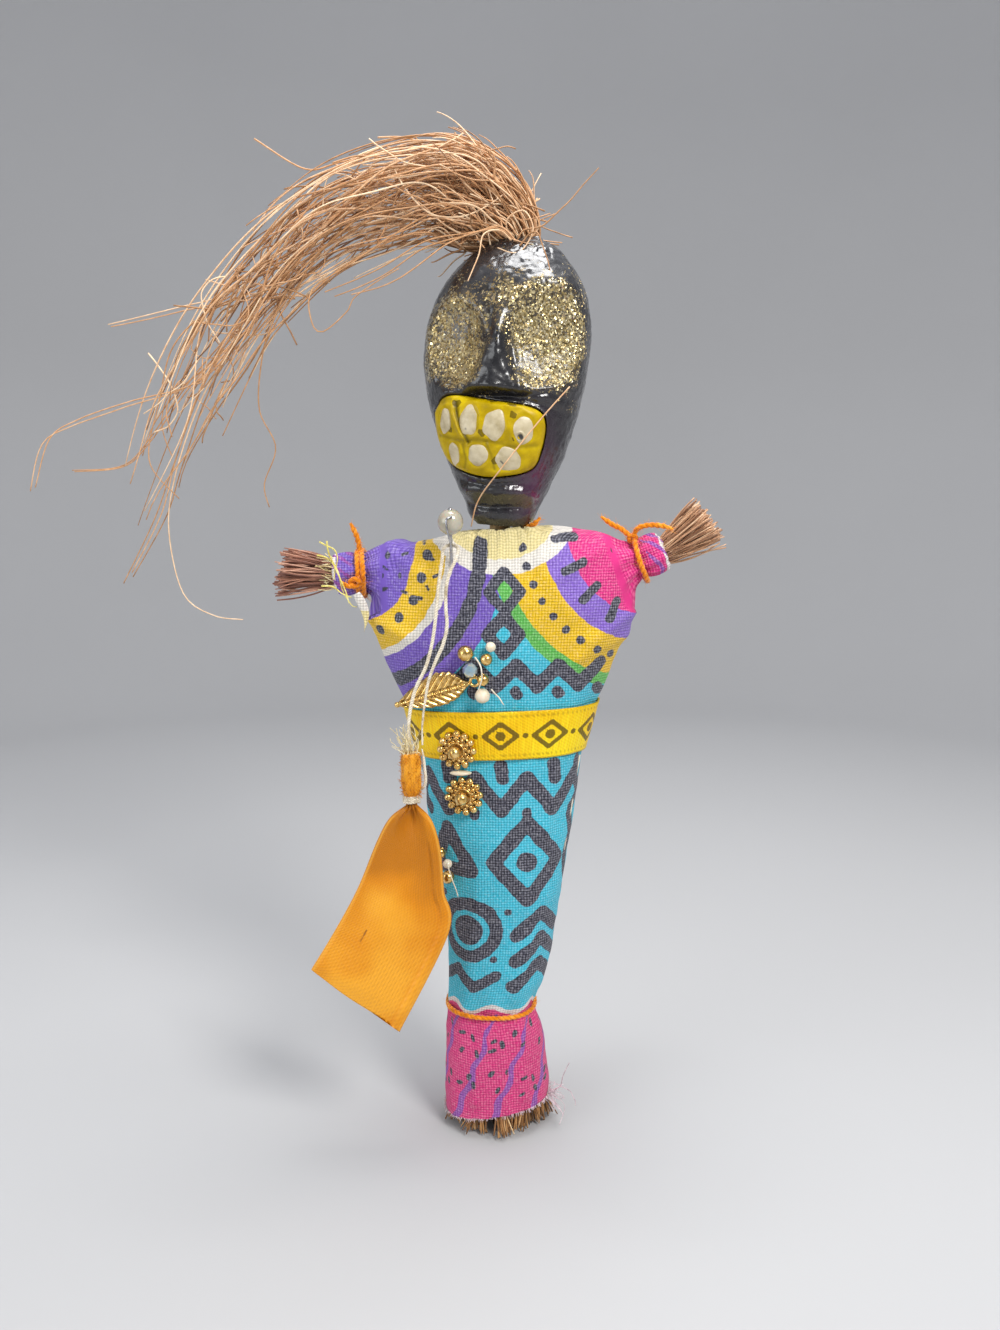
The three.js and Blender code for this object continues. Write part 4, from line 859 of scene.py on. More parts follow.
def line_frames(line, closed=False):
    """Side and up ways along a line that don't twist about it."""
    way = unit(np.roll(line, -1, axis=0) - np.roll(line, 1, axis=0) if closed else np.gradient(line, axis=0))
    side = np.zeros_like(line)
    side[0] = unit(np.cross(way[0], [0.31, 0.8, 0.51]))
    for i in range(1, len(line)):
        side[i] = unit(side[i - 1] - way[i] * (side[i - 1] @ way[i]))
    up = np.cross(way, side)
    if closed:
        last = unit(side[-1] - way[0] * (side[-1] @ way[0]))
        turn = -math.atan2(last @ up[0], last @ side[0]) * np.arange(len(line)) / len(line)
        side, up = (wheel(turn + quarter, side, up) for quarter in (0, np.pi / 2))
    return way, side, up


def twisted(line, radius, plies, pitch, sides, closed, phase=0.0):
    """Form of a twisted yarn and the depth between its plies, which yarn materials paint as shade; its open
    end tapers to half.
    """
    run = run_along(line)
    turns = run / pitch
    if closed:
        whole = run[-1] + np.linalg.norm(line[0] - line[-1])
        turns = run / whole * max(1, round(whole / pitch * plies)) / plies
    _, side, up = line_frames(line, closed)
    lobe = np.abs(np.cos(plies / 2 * (around(sides) - 2 * np.pi * turns[:, None] + phase)))
    ends = 1 - (0 if closed else 0.5) * smooth(0.75, 1, run / run[-1])
    spread = radius * ends[:, None] * (0.66 + 0.4 * lobe ** 0.6)
    rings = line[:, None] + spread[..., None] * wheel(around(sides), side[:, None], up[:, None])
    if closed:
        return looped(rings), (1 - lobe).ravel()
    return closed_grid(rings), capped(1 - lobe, 0.5)


def fuzz(line, radius, per_mm, length, seed, thickness=0.035):
    """Loose hairs of a yarn, as thin tubes that leave its surface."""
    random = np.random.default_rng(seed)
    count = max(2, int(run_along(line)[-1] * per_mm))
    way, side, up = line_frames(line)
    at = random.integers(1, len(line) - 1, count)
    out = wheel(random.uniform(0, 2 * np.pi, count), side[at], up[at])
    along = way[at] * random.choice([-1, 1], count)[:, None]
    lean = unit(out + along * random.uniform(0.4, 2.4, count)[:, None] + random.normal(0, 0.3, (count, 3)))
    reach = random.uniform(0.3, 1.0, count)[:, None] * length
    curl = random.normal(0, 0.35, (count, 3)) * reach
    share = np.linspace(0, 1, 5)[None, :, None]
    start, lean, curl = ((line[at] + out * radius * 0.7)[:, None], (lean * reach)[:, None], curl[:, None])
    return tubes(start + lean * share + curl * share ** 2, thickness * (1 - 0.6 * np.linspace(0, 1, 5)), 3)


def yarn_piece(name, node, runs, radius, material, seed, plies=2, pitch=2.2, per_mm=7, hair=1.3, sides=14,
               slot="yarn", body="doll"):
    """One piece of several twisted runs, each (line, closed), with its loose hairs."""
    parts = Parts()
    for number, (line, closed) in enumerate(runs):
        parts.add(*twisted(line, radius, plies, pitch, sides, closed, number))
        if per_mm:
            parts.add(fuzz(line, radius, per_mm, hair, seed + number), 0.15)
    return parts.piece("groove", name, material, slot, (node,), body)


THREAD_DIAMETER = 0.65
THREAD_ROUTE = [(-16.9, -17.2, 84.9), (-16.7, -17.6, 87.8), (-16.4, -17.2, 91), (-15.4, -16.6, 95.1),
                (-13.5, -16, 99.2), (-12.4, -15.6, 103.2), (-11.8, -15.3, 107), (-11.4, -14.8, 111),
                (-11, -13.9, 115), (-10.5, -12.6, 118.6), (-10.3, -11.4, 120.4), (-9, -9.95, 121),
                (-7.7, -11.4, 120.5), (-8, -12.9, 118.6), (-9.1, -14, 116.2), (-9.7, -14.7, 113.6),
                (-9.8, -15.4, 110), (-9.6, -15.8, 106.6), (-10.3, -16.2, 103.4), (-11.7, -16.3, 100.2),
                (-13, -16.4, 96.6), (-13.7, -16.6, 92.6), (-14.2, -17, 88.4), (-14.2, -17.2, 84.9)]


def make_thread(material):
    line = route(THREAD_ROUTE, 640)
    radius = THREAD_DIAMETER / 2
    thread = yarn_piece("hanging_thread", "thread_loop", [(line, False)], radius, material, 5, 3, 1.5, 0,
                        slot="thread", body="thread")
    lint = fuzz(line, radius, 2.2, 0.7, 6, 0.03)
    piece("thread_lint", lint, material, "thread", body="thread", groove=np.full(len(lint[0]), 0.1))


# Head: black clay with pressed sockets, an open mouth laid in, and a rough glue cap under the hair

HEAD_BASE = np.array([0.3, -0.6, 124.35])
HEAD_ROLL, HEAD_YAW, HEAD_HEIGHT = math.radians(4.6), math.radians(-12), 53
HEAD_ROWS = [(0, 4.6, 4.3, 4, 0), (1.2, 5.9, 5.6, 4.8, 0), (3.6, 6.9, 6.8, 5.7, -0.1),
             (9.4, 9.6, 9.4, 7.4, -0.4), (16, 12.4, 11.4, 9.2, -0.9), (23, 14.4, 11.9, 10.9, -1.4),
             (31, 15.5, 11.9, 11.8, -1.6), (38.4, 15, 11.3, 11.8, -1.3), (44, 12.8, 9.8, 10.4, -0.7),
             (48.5, 9.4, 7.4, 7.9, -0.3), (51.5, 5.6, 4.5, 4.8, 0), (HEAD_HEIGHT, 1.6, 1.4, 1.4, 0)]
SOCKETS = [(-8.9, 31.6, 5.6, 7.4), (7.2, 33.8, 6.7, 8.8)]
SOCKET_DEPTH, SOCKET_RIM = 2.2, 0.5
NOSE_X, NOSE_TOP, NOSE_BASE, NOSE_HEIGHT, NOSE_WIDE = -1, 37, 24.4, 2.5, 4.3
MOUTH = [(-12.4, 19.6), (-10.9, 22.1), (-7, 22.7), (-1, 22.1), (6.4, 21.3), (8.4, 19), (8, 14.4), (6.2, 10.6),
         (0.4, 8.9), (-4.4, 9.1), (-9.2, 11), (-11.7, 14.8)]
MOUTH_PROUD = 0.9
TEETH = [(-9.6, 18.1, 1.25, 2.3), (-4.8, 18.3, 1.75, 2.7), (-0.1, 17.8, 2.1, 2.7), (5.2, 17.4, 1.8, 2.5),
         (-7.7, 12.4, 1.25, 2.1), (-2.9, 12.4, 2, 1.9), (2.7, 12, 2.4, 2.1)]
# Creases modelled in the face: depth, width and line
FACE_CREASES = [(0.55, 0.55, [(-9.5, 24.6), (-6.6, 23.2), (-1, 22.9), (4, 23.2), (8.5, 24.3), (12, 23.4)]),
                (0.5, 0.7, [(-6.4, 24.2), (-4.6, 28), (-2.9, 33)]),
                (0.5, 0.7, [(4, 24.2), (2.4, 28), (0.9, 33)]),
                (-0.4, 0.8, [(-6.6, 6.2), (-1, 5.6), (5, 6.4)]),
                (0.4, 0.5, [(-5.4, 3.6), (-1, 3.2), (4, 3.8)]),
                (0.25, 0.4, [(-7.5, 8), (-2, 7.2), (4, 7.8)])]
FACE_DENTS = [(-4.4, 43.6, 1.1), (-3.6, 41.2, 0.8), (9.5, 27.5, 1.3), (-12, 24.8, 1.2), (11, 41.5, 1.4)]


def from_head(points):
    """Places in the doll's frame of places in the head's own."""
    cz, sz, cy, sy = math.cos(HEAD_YAW), math.sin(HEAD_YAW), math.cos(HEAD_ROLL), math.sin(HEAD_ROLL)
    x, y, z = np.moveaxis(np.asarray(points, float), -1, 0)
    x, y = cz * x - sz * y, sz * x + cz * y
    return np.stack([cy * x + sy * z, y, cy * z - sy * x], axis=-1) + HEAD_BASE


def face_relief(x, z):
    relief = np.zeros(np.broadcast(x, z).shape)
    for sx, sz, wide, tall in SOCKETS:
        q = np.hypot((x - sx) / wide, (z - sz) / tall)
        relief += SOCKET_RIM * bell(q - 1.12, 0.16) - SOCKET_DEPTH * np.maximum(1 - q * q, 0)
    down = np.clip((NOSE_TOP - z) / (NOSE_TOP - NOSE_BASE), 0, 1)
    half = 1.2 + (NOSE_WIDE - 1.2) * down * down
    ends = smooth(NOSE_BASE - 1.4, NOSE_BASE + 0.2, z) * (1 - smooth(NOSE_TOP, NOSE_TOP + 5, z))
    relief += NOSE_HEIGHT * (0.35 + 0.65 * down) * ends * bell(x - NOSE_X, half)
    relief -= 0.8 * bell(z - NOSE_BASE + 1.6 + 0.012 * (x + 1) ** 2, 0.9)
    muzzle = ((x + 2) / 11.5) ** 2 + ((z - 15.5) / 7.5) ** 2
    relief += 0.9 * np.exp(-(muzzle ** 2))
    return relief + bell(z - 6.4, 1.3) - 0.5 * bell(z - 3.6, 1) + 0.7 * bell(z - 43.5, 3.4)


def head_point(z, angle, swell):
    z, angle = np.broadcast_arrays(np.asarray(z, float), np.asarray(angle, float))
    front = np.sin(angle) < 0
    x = (through(HEAD_ROWS, 1, z) + swell) * bulge(np.cos(angle), np.where(front, 0.9, 1))
    deep = np.where(front, through(HEAD_ROWS, 2, z), through(HEAD_ROWS, 3, z)) + swell
    y = deep * bulge(np.sin(angle), np.where(front, 0.82, 0.95))
    across = x + through(HEAD_ROWS, 4, z)
    relief = np.where(front, face_relief(across, z) * np.minimum(1, -1.6 * np.sin(angle)), 0)
    return np.stack([across, y - relief, z], axis=-1)


def face_front(x, z, swell):
    """Front of the face over places x and z, in the head's own frame."""
    low, high = np.full(x.shape, np.pi), np.full(x.shape, 2 * np.pi)
    for _ in range(28):
        angle = (low + high) / 2
        left = head_point(z, angle, swell)[..., 0] < x
        low, high = np.where(left, angle, low), np.where(left, high, angle)
    return head_point(z, angle, swell)[..., 1]


def mouth_ring(count):
    """Middle of the mouth, and its outline at even angles about it: angles and radii."""
    middle = np.array(MOUTH, float).mean(axis=0)
    rel = even_line(MOUTH + MOUTH[:1], 240)[:-1] - middle
    angle = np.arctan2(rel[:, 1], rel[:, 0])
    order = np.argsort(angle)
    turn = np.linspace(-np.pi, np.pi, count, endpoint=False)
    return middle, turn, np.interp(turn, angle[order], np.hypot(*rel.T)[order], period=2 * np.pi)


def glitter_mask(x, z, face):
    """Gold glitter in the sockets and over the brow, thin at the nose, and thinned at the top of each socket
    as painted shade.
    """
    glitter, shaded = 0 * x, 0 * x
    for sx, sz, wide, tall in SOCKETS:
        q = np.hypot((x - sx) / (wide + 2.4), (z - sz) / (tall + 3.0))
        glitter = np.maximum(glitter, 0.95 - 0.78 * q ** 3)
        # Painted shade: fewer flakes in the upper part of each socket, under the brow.
        q = np.hypot((x - sx) / (0.75 * wide), (z - sz - 0.5 * tall) / (0.42 * tall))
        shaded = np.maximum(shaded, bell(q, 1.0))
    glitter = np.maximum(glitter, 0.62 * bell(np.hypot((x - 0.5) / 8.5, (z - 40.2) / 3.4), 1.0))
    glitter = np.maximum(glitter, 0.5 * bell(np.hypot((x + 11) / 3.2, (z - 27.5) / 4.5), 1.0))
    glitter -= 0.34 * shaded + 0.75 * bell(line_distance(x, z, [(-1, 31.5), (-1, 24)]), 3.0)
    glitter -= 0.9 * smooth(25.5, 22.5, z)
    return np.clip(glitter, 0, 1) * smooth(0.1, 0.85, face) - 0.3 * smooth(23, 19, z)


def make_head(material):
    rows = np.concatenate([np.linspace(0, HEAD_HEIGHT - 4, 230),
                           HEAD_HEIGHT - 4 * np.linspace(1, 0, 32)[1:] ** 1.6])
    angle = np.concatenate([np.linspace(0, np.pi, 100, endpoint=False),
                            np.pi + np.linspace(0, np.pi, 230, endpoint=False)])
    grid = head_point(rows[:, None], angle, 0.0)
    x, z = grid[..., 0], grid[..., 2]
    face = np.clip(-1.6 * np.sin(angle), 0, 1)[None]
    middle, turn, radius = mouth_ring(180)
    dx, dz = x - middle[0], z - middle[1]
    past_edge = np.hypot(dx, dz) - np.interp(np.arctan2(dz, dx), turn, radius, period=2 * np.pi)
    push = 1.75 * smooth(0.28, -0.1, past_edge) * (face > 0.2) - 0.28 * bell(past_edge - 0.7, 0.55) * face
    for depth, width, line in FACE_CREASES:
        push += depth * bell(line_distance(x, z, line), width) * face
    for px, pz, size in FACE_DENTS:
        push += 0.35 * bell(np.hypot(x - px, z - pz), size) * face
    flat = grid.reshape(-1, 3)
    fine = 0.1 * lumps(flat, 1.3, 2.0) + 0.22 * lumps(flat, 4.2, 5.0) + 0.05 * lumps(flat, 0.6, 8.0)
    fine += 0.3 * lumps(flat, 0.9, 12.0) * smooth(47.5, 50.5, z).ravel()
    ends = smooth(0, 1.2, z) * smooth(HEAD_HEIGHT, HEAD_HEIGHT - 3, z)
    out = np.stack([np.cos(angle), np.sin(angle), 0 * angle], axis=-1)
    grid = grid + out * (fine.reshape(x.shape) * ends)[..., None]
    grid[..., 1] += push
    # Painted sheen: the purple cast on the chin's right, for the clay's colour.
    violet = bell(np.hypot((x - 7.5) / 3.5, (z - 8) / 9), 1.0) * face
    return piece("clay_head", closed_grid(from_head(grid)), material, "clay", ("head",),
                 glitter=capped(glitter_mask(x, z, face)), violet=capped(violet))


def bottomed(grid, back):
    """A grid over the face with a last row set back into it."""
    last = grid[-1:].copy()
    last[..., 1] = back
    return closed_grid(from_head(np.concatenate([grid, last])))


def make_mouth(material):
    middle, turn, radius = mouth_ring(220)
    share = np.concatenate([np.linspace(0.004, 0.9, 84), np.linspace(0.91, 1.0, 14)])[:, None]
    x = middle[0] + share * radius * np.cos(turn)
    z = middle[1] + share * radius * np.sin(turn)
    edge = (1 - share) * radius
    height = -0.75 * np.exp(-edge / 0.28) + 0.1 * bell(edge - 0.7, 0.5)
    flat = np.stack([x, 0 * x, z], axis=-1).reshape(-1, 3)
    height += (0.16 * lumps(flat, 1.6, 3.0) + 0.22 * lumps(flat, 3.6, 7.0)).reshape(x.shape)
    fold = line_distance(x, z, [(-8.4, 22), (-8, 19.6), (-7, 17.2), (-5.4, 14.9)])
    crease = line_distance(x, z, [(-7.7, 21.4), (-7.1, 19), (-6.2, 16.9), (-4.8, 14.6)])
    height += 0.55 * bell(fold, 0.55) - 0.45 * bell(crease, 0.4)
    # Painted shade along the creases, read by the mouth's colour.
    crease_shade = bell(crease, 0.35)
    for line, depth, width in (([(-10.8, 15.6), (-6.5, 14.8), (-1, 14.9), (4, 14.2), (7.4, 14.9)], 0.3, 0.5),
                               ([(-1.4, 14.6), (-0.4, 12.6), (0.2, 10.2)], 0.22, 0.4),
                               ([(-5.8, 14), (-5.2, 11.6), (-5.6, 10)], 0.18, 0.35)):
        distance = line_distance(x, z, line)
        height -= depth * bell(distance, width)
        crease_shade = np.maximum(crease_shade, 0.45 * bell(distance, width * 0.7))
    for tx, tz, wide, tall in TEETH:
        q = np.hypot((x - tx) / wide, (z - tz) / tall)
        height += 0.14 * bell(q - 1.22, 0.18) - 0.3 * smooth(1.0, 0.6, q)
    grid = np.stack([x, face_front(x, z, MOUTH_PROUD) - height, z], axis=-1)
    crease_shade = np.vstack([np.clip(crease_shade, 0, 1), 0 * crease_shade[:1]])
    form = bottomed(grid, face_front(x[-1], z[-1], -0.9))
    piece("painted_mouth", form, material, "mouth", ("mouth_slab",), crease=capped(crease_shade))


def make_teeth(material):
    for number, (tx, tz, wide, tall) in enumerate(TEETH, 1):
        turn = around(72)
        share = np.concatenate([np.linspace(0.01, 0.9, 16), np.linspace(0.93, 1, 5)])[:, None]
        uneven = share * (1 + 0.05 * np.cos(3 * turn + number) + 0.04 * np.cos(5 * turn + 2.2 * number))
        pz = uneven * tall * bulge(np.sin(turn), 0.92)
        x = tx + uneven * wide * bulge(np.cos(turn), 0.92) + (-0.22 if number == 5 else 0.05) * pz
        z = tz + pz
        flat = np.stack([x, 0 * x + number, z], axis=-1).reshape(-1, 3)
        height = 0.42 * (1 - share ** 3.5) ** 0.5 + (0.06 * lumps(flat, 0.9, number)).reshape(x.shape)
        # The pit value turns the clay dark grey: in a carved pit on tooth 4, a shallow scratch on tooth 7 and
        # a small spot on tooth 2.
        pit = 0 * x
        if number == 4:
            q = np.hypot(x - tx + 0.5, z - tz + 1.35)
            pit = smooth(0.62, 0.38, q)
            height -= 0.4 * pit - 0.12 * bell(q - 0.8, 0.18)
        if number == 7:
            pit = bell(line_distance(x, z, [(tx - 1.3, tz - 0.4), (tx - 0.9, tz - 0.75)]), 0.14)
            height -= 0.12 * pit
        if number == 2:
            pit = 0.8 * bell(np.hypot(x - tx + 0.4, z - tz + 1.5), 0.16)
        grid = np.stack([x, face_front(x, z, MOUTH_PROUD - 0.2) - height, z], axis=-1)
        form = bottomed(grid, face_front(x[-1], z[-1], MOUTH_PROUD - 1.0))
        piece(f"bean_{number}", form, material, "tooth", (f"tooth_{number}",),
              pit=capped(np.vstack([pit, 0 * pit[:1]])))


def make_glue(material):
    """Clear lumps where the hair is set in the crown."""
    parts = []
    for x, z, y, size in ((2.6, 51.2, -1.6, 1.9), (4.4, 49.4, -2.6, 1.5), (0.6, 50.4, -3.4, 1.4),
                          (5.6, 47.6, -2.8, 1.3), (-1.2, 51.6, -1.2, 1.6), (3.4, 48, -4.4, 1.1)):
        points, faces = ball((0, 0, 0), 1, 36, 24)
        shape = np.array([size, size * 0.62, size * 0.8])
        bumps = 1 + 0.28 * lumps(points + x, 0.8, z)
        parts.append((from_head(points * shape * bumps[:, None] + (x, y, z)), faces))
    return piece("crown_glue", join_parts(parts), material, "clay")


# Hair: one rope of fibres swept over to the left, with its loose ends laid out one by one

PLUME = [(5.4, 0.4, 173.4), (2.4, 0, 178.8), (-4, -0.8, 183), (-14, -2, 184.8), (-29.5, -4, 179.6),
         (-43.5, -6, 167.2), (-53, -7.2, 153), (-60, -8, 137.2), (-66.5, -8.6, 118.6)]
# Half thickness of the rope at each share of its length
PLUME_ROWS = [(0, 1.3), (0.04, 2.3), (0.08, 3.5), (0.16, 5.6), (0.28, 7.2), (0.45, 7.2), (0.6, 6.2), (1, 7.5)]
LOOSE_ENDS = [
    (-3, [(-22, 184), (-30.9, 180.4), (-43.6, 172.3), (-51.6, 166.6), (-60.1, 164.5), (-72.7, 161.7)]),
    (-4, [(-44.4, 193.6), (-35.6, 188.6), (-29.1, 189.8), (-18.4, 192.6), (-12.7, 190.8), (-5, 186),
          (1, 180)]),
    (-3, [(-22.3, 194.5), (-16.5, 194), (-11.2, 190.8), (-4.7, 186.2), (0, 180.4), (4, 176)]),
    (-8, [(-20, 187), (-35.6, 173.1), (-46.9, 159.4), (-55.8, 150.5), (-68.6, 146.5), (-77.9, 143.3),
          (-83.1, 140), (-85.9, 131.4)]),
    (-6, [(-28, 182), (-43.1, 166.7), (-50.7, 158), (-57.3, 150.8), (-65.4, 140.2), (-70.3, 135.8),
          (-79.3, 134.9)]),
    (-9, [(-30, 179), (-42.1, 167.6), (-52.5, 162.5), (-59, 155.8), (-61.2, 146.3), (-63, 135.8),
          (-57.5, 129.4)]),
    (-8, [(-22, 186), (-37.5, 171.4), (-46.8, 161.2), (-54.2, 148.9), (-59.1, 135.9), (-62.2, 126.1),
          (-68.5, 115.1)]),
    (-8.4, [(-24, 184), (-38, 170.6), (-47.4, 160.2), (-54.9, 147.9), (-59.9, 135), (-63.4, 125.4),
            (-69.5, 113.6)]),
    (-9, [(-26, 183), (-41, 167), (-49.5, 155.8), (-55, 146.4), (-59.8, 133.5), (-61.4, 123.5), (-59, 111.9),
          (-53.4, 107.9), (-47.6, 107.3)]),
    (-9, [(-22, 181), (-35.6, 169.5), (-41.3, 159.3), (-43.1, 152.8), (-43.4, 144.8), (-40.5, 138.4),
          (-42.6, 131.9), (-41.7, 127.7)]),
    (-7, [(-20, 184), (-32.2, 173.4), (-37.9, 164.8), (-40.9, 160.3), (-46.2, 149.9), (-51.2, 140.1)]),
    (-9, [(-6, 181.5), (-14.1, 178.8), (-26.6, 170.9), (-33.7, 166.1), (-33.9, 160.6), (-31.9, 158.7),
          (-27.4, 162.2), (-25.7, 164.6), (-17.8, 169.2)]),
    (-6, [(2.6, 174.2), (4.3, 176.9), (8.4, 177.7), (15, 183.1), (17.8, 186.8)]),
    (-8.6, [(3.5, 174.1), (5.4, 175.9), (7, 175.6), (7.9, 171.7), (9.5, 167.2)]),
    (-10.6, [(2, 174.8), (0, 176.1), (-2.8, 175.3), (-3.7, 171.5), (-5.6, 167)]),
    (-7, [(3, 175), (0, 177.6), (-4.6, 176.6), (-12.7, 175.1), (-20.8, 170.5), (-31.2, 166.2)]),
    (-7.6, [(3, 175), (-0.6, 177.2), (-6, 176), (-13.8, 173.9), (-21.4, 169.4), (-29.4, 165.9)]),
    (-8, [(2, 175.6), (-1.8, 177.1), (-8.5, 174.6), (-16.7, 168.5), (-25.7, 165.4)]),
    (-5, [(1, 180), (-8, 188.5), (-18, 187.5), (-27, 184), (-37.8, 177.1), (-46.5, 169.7), (-55.9, 159.4),
          (-56.6, 155.8), (-52, 155.4), (-44, 163)]),
    (-5, [(3.6, 174.4), (7.2, 178.4), (4.6, 181.4), (0.4, 180.4), (1.4, 176.2), (5.2, 174.6)]),
    (-7, [(2.2, 174.6), (1.2, 178.6), (4.4, 180), (6.4, 176.8), (4.2, 173.6), (0, 174.6)])]
FACE_STRAND = [(12.2, -15.2, 148.7), (6.9, -16.8, 142.8), (0, -17.3, 134.3), (-3.9, -13.4, 129.1),
               (-5.3, -9.6, 124.4)]
# Loose ends that have another beside them
TWIN_ENDS = (0, 3, 4, 6)


def make_hair(material):
    random, parts = np.random.default_rng(21), Parts()
    count, steps = 440, 60
    length = 0.34 + 0.62 * random.uniform(0, 1, count) ** 4.6
    length[: count // 5] = random.uniform(0.16, 0.4, count // 5)
    share = length[:, None] * np.linspace(0, 1, steps)
    depth, breadth = cross_axes(unit(spline(PLUME, share + 0.004) - spline(PLUME, share - 0.004)))
    radius, angle = np.sqrt(random.uniform(0, 1, count)), random.uniform(0, 2 * np.pi, count)
    seat = (radius[:, None] * wheel(angle, *np.eye(2)))[:, None]
    for waves, size in ((0.7, 0.42), (1.6, 0.34), (3.4, 0.17), (7.5, 0.055)):
        phase = random.uniform(0, 2 * np.pi, (count, 1, 2))
        swing = np.sin(2 * np.pi * waves * share[..., None] + phase) - np.sin(phase)
        seat = seat + random.normal(0, size, (count, 1, 2)) * swing
    reach = np.linalg.norm(seat, axis=2, keepdims=True)
    seat = seat * (np.tanh(reach * 0.9) / np.maximum(reach, 0.01) / 0.75)
    seat = seat * (1 - smooth(0.45, 1, share) * (1 - radius[:, None] ** 0.5))[..., None]
    half = through(PLUME_ROWS, 1, share)[..., None]
    lines = spline(PLUME, share) + breadth * seat[..., :1] * half + depth * seat[..., 1:] * half * 0.8
    wild = np.where(random.uniform(0, 1, (count, 1, 1)) < 0.12, 2.6, 0.9)
    splay = random.normal(0, 1, (count, 1, 3)) * np.array([1.3, 1, 1.3]) * wild
    lines += splay * smooth(0.5, 1.0, share / length[:, None])[..., None] ** 2
    thick = random.uniform(0.11, 0.18, count)[:, None] * (1 - 0.4 * smooth(0.8, 1, np.linspace(0, 1, steps)))
    parts.add(tubes(lines, thick, 4), random.uniform(0.15, 0.85, count))

    crossing, steps = 130, 26
    middle = random.uniform(0.06, 0.84, crossing)
    along = unit(spline(PLUME, middle + 0.01) - spline(PLUME, middle - 0.01))
    beside = np.cross([0, 1, 0], along)
    heading = wheel(random.normal(0, 0.5, crossing), along, beside)
    bow = beside * random.normal(0, 2.6, (crossing, 1))
    half = through(PLUME_ROWS, 1, middle)[:, None]
    start = spline(PLUME, middle) + beside * half * random.uniform(-0.8, 0.8, (crossing, 1))
    start[:, 1:2] += half * random.uniform(-0.95, 0.5, (crossing, 1))
    share = np.linspace(-1, 1, steps)[None, :, None]
    reach = random.uniform(4, 14, (crossing, 1, 1)) * (1 - 0.6 * middle[:, None, None])
    lines = start[:, None] + heading[:, None] * reach * share + bow[:, None] * (share ** 2 - 0.4)
    lines += wobble(crossing, steps, 0.25, 77) + np.array([0, 1.2, 0]) * share ** 2
    parts.add(tubes(lines, random.uniform(0.1, 0.16, (crossing, 1)), 4), random.uniform(0.3, 0.8, crossing))

    for number, (depth_y, places) in enumerate(LOOSE_ENDS):
        places = np.array([(x, depth_y, z) for x, z in places], float)
        places[:, 1] += np.linspace(0.9, -0.6, len(places)) * (1 + number % 3)
        for twin in range(2 if number in TWIN_ENDS else 1):
            line = even_line(places + twin * np.array([0.5, 0.5, -0.4]), 60)
            line = line + wobble(1, 60, 0.22, 60 + number + 40 * twin)[0]
            parts.add(tubes(line, 0.17 * (1 - 0.4 * np.linspace(0, 1, 60)), 5), 0.35 + 0.4 * random.uniform())
    parts.add(tubes(even_line(FACE_STRAND, 50), 0.13, 5), 0.6)
    parts.piece("tint", "hair_rope", material, "bristle", ("hair_plume",))


# Bristles, frayed ends and ties

HAND_LENGTH, HAND_SPREAD, HAND_COUNT = 9.6, 5.3, 210


def make_hand(name, node, arm, material, seed):
    random, parts, count = np.random.default_rng(seed), Parts(), HAND_COUNT
    tie, sleeve, root_depth, root_breadth = arm_frame(arm)
    way = unit(arm["bristles"])
    depth, breadth = cross_axes(way)
    radius = np.sqrt(random.uniform(0, 1, count))[:, None]
    angle = random.uniform(0, 2 * np.pi, count)[:, None]
    u, v = radius * np.cos(angle), radius * np.sin(angle)
    cuff = tie + sleeve * CUFF_END
    across = root_breadth * u + root_depth * v
    mouth = cuff + across * 2.75
    reach = HAND_LENGTH + 0.3 + random.normal(0, 0.55, (count, 1)) - 1.1 * u * (sleeve[0] < 0)
    tip = cuff + way * reach + (breadth * (u + random.normal(0, 0.15, u.shape))
                                + depth * (v + random.normal(0, 0.15, v.shape)) * 0.8) * HAND_SPREAD
    share = np.linspace(0, 1, 9)[None, :, None]
    tip += (mouth[random.permutation(count)] - mouth) * 0.22
    bow = random.normal(0, 0.34, (count, 1, 3))
    outer = mouth[:, None] + (tip - mouth)[:, None] * share + bow * np.sin(np.pi * share)
    lines = np.concatenate([(cuff - sleeve * 3.5 + across * 2.0)[:, None], outer], axis=1)
    thick = random.uniform(0.11, 0.19, (count, 1)) * np.linspace(1.0, 0.92, 10)
    parts.add(tubes(lines, thick, 6), random.uniform(0.1, 0.9, count))
    parts.piece("tint", name, material, "bristle", (node,))


def make_foot(material):
    random, parts = np.random.default_rng(44), Parts()
    tufts, outer, each, steps, sides = 56, 38, 12, 7, 5
    middle, size = np.array([-0.6, 0]), np.array([10.3, 8.0])
    turn = np.arange(tufts) * 2.39996
    out = np.where(np.arange(tufts) < outer, random.uniform(0.84, 0.96, tufts),
                   random.uniform(0.3, 0.75, tufts))
    turn[:outer] = (np.arange(outer) + random.uniform(-0.4, 0.4, outer)) / outer * 2 * np.pi
    for k, spot in enumerate(out[:, None] * wheel(turn, *np.eye(2))):
        lean = random.normal(0, 0.12, 2)
        top_spot, low_spot = random.normal(0, 0.022, (each, 2)), random.normal(0, 0.062, (each, 2))
        top = np.column_stack([middle + (spot + top_spot) * size * 0.88, np.full(each, 9.5)])
        spread = 1.07 + random.normal(0, 0.03)
        height = 0.15 + np.abs(random.normal(0, 0.8, each)) + random.uniform(0, 0.7)
        low = np.column_stack([middle + (spot * spread + low_spot + lean) * size, height])
        share = np.linspace(0, 1, steps)[None, :, None]
        lines = top[:, None] + (low - top)[:, None] * share
        lines += random.normal(0, 0.2, (each, 1, 3)) * np.sin(np.pi * share) * np.array([1, 1, 0])
        form = tubes(lines, random.uniform(0.11, 0.19, (each, 1)), sides)
        heights = form[0][:, 2]
        bright = 0.5 + random.normal(0, 0.12) + random.uniform(-0.25, 0.25, each)
        # Painted shade: the tufts darken towards the hem above them, and the inner tufts darken further.
        shade = 0.5 * smooth(3.5, 8, heights) + 0.35 * (k >= outer)
        np.maximum(heights, 0.02, out=heights)
        parts.add(form, np.repeat(bright, steps * sides) - shade)
    parts.piece("tint", "foot_bristles", material, "bristle", ("foot_brush",))


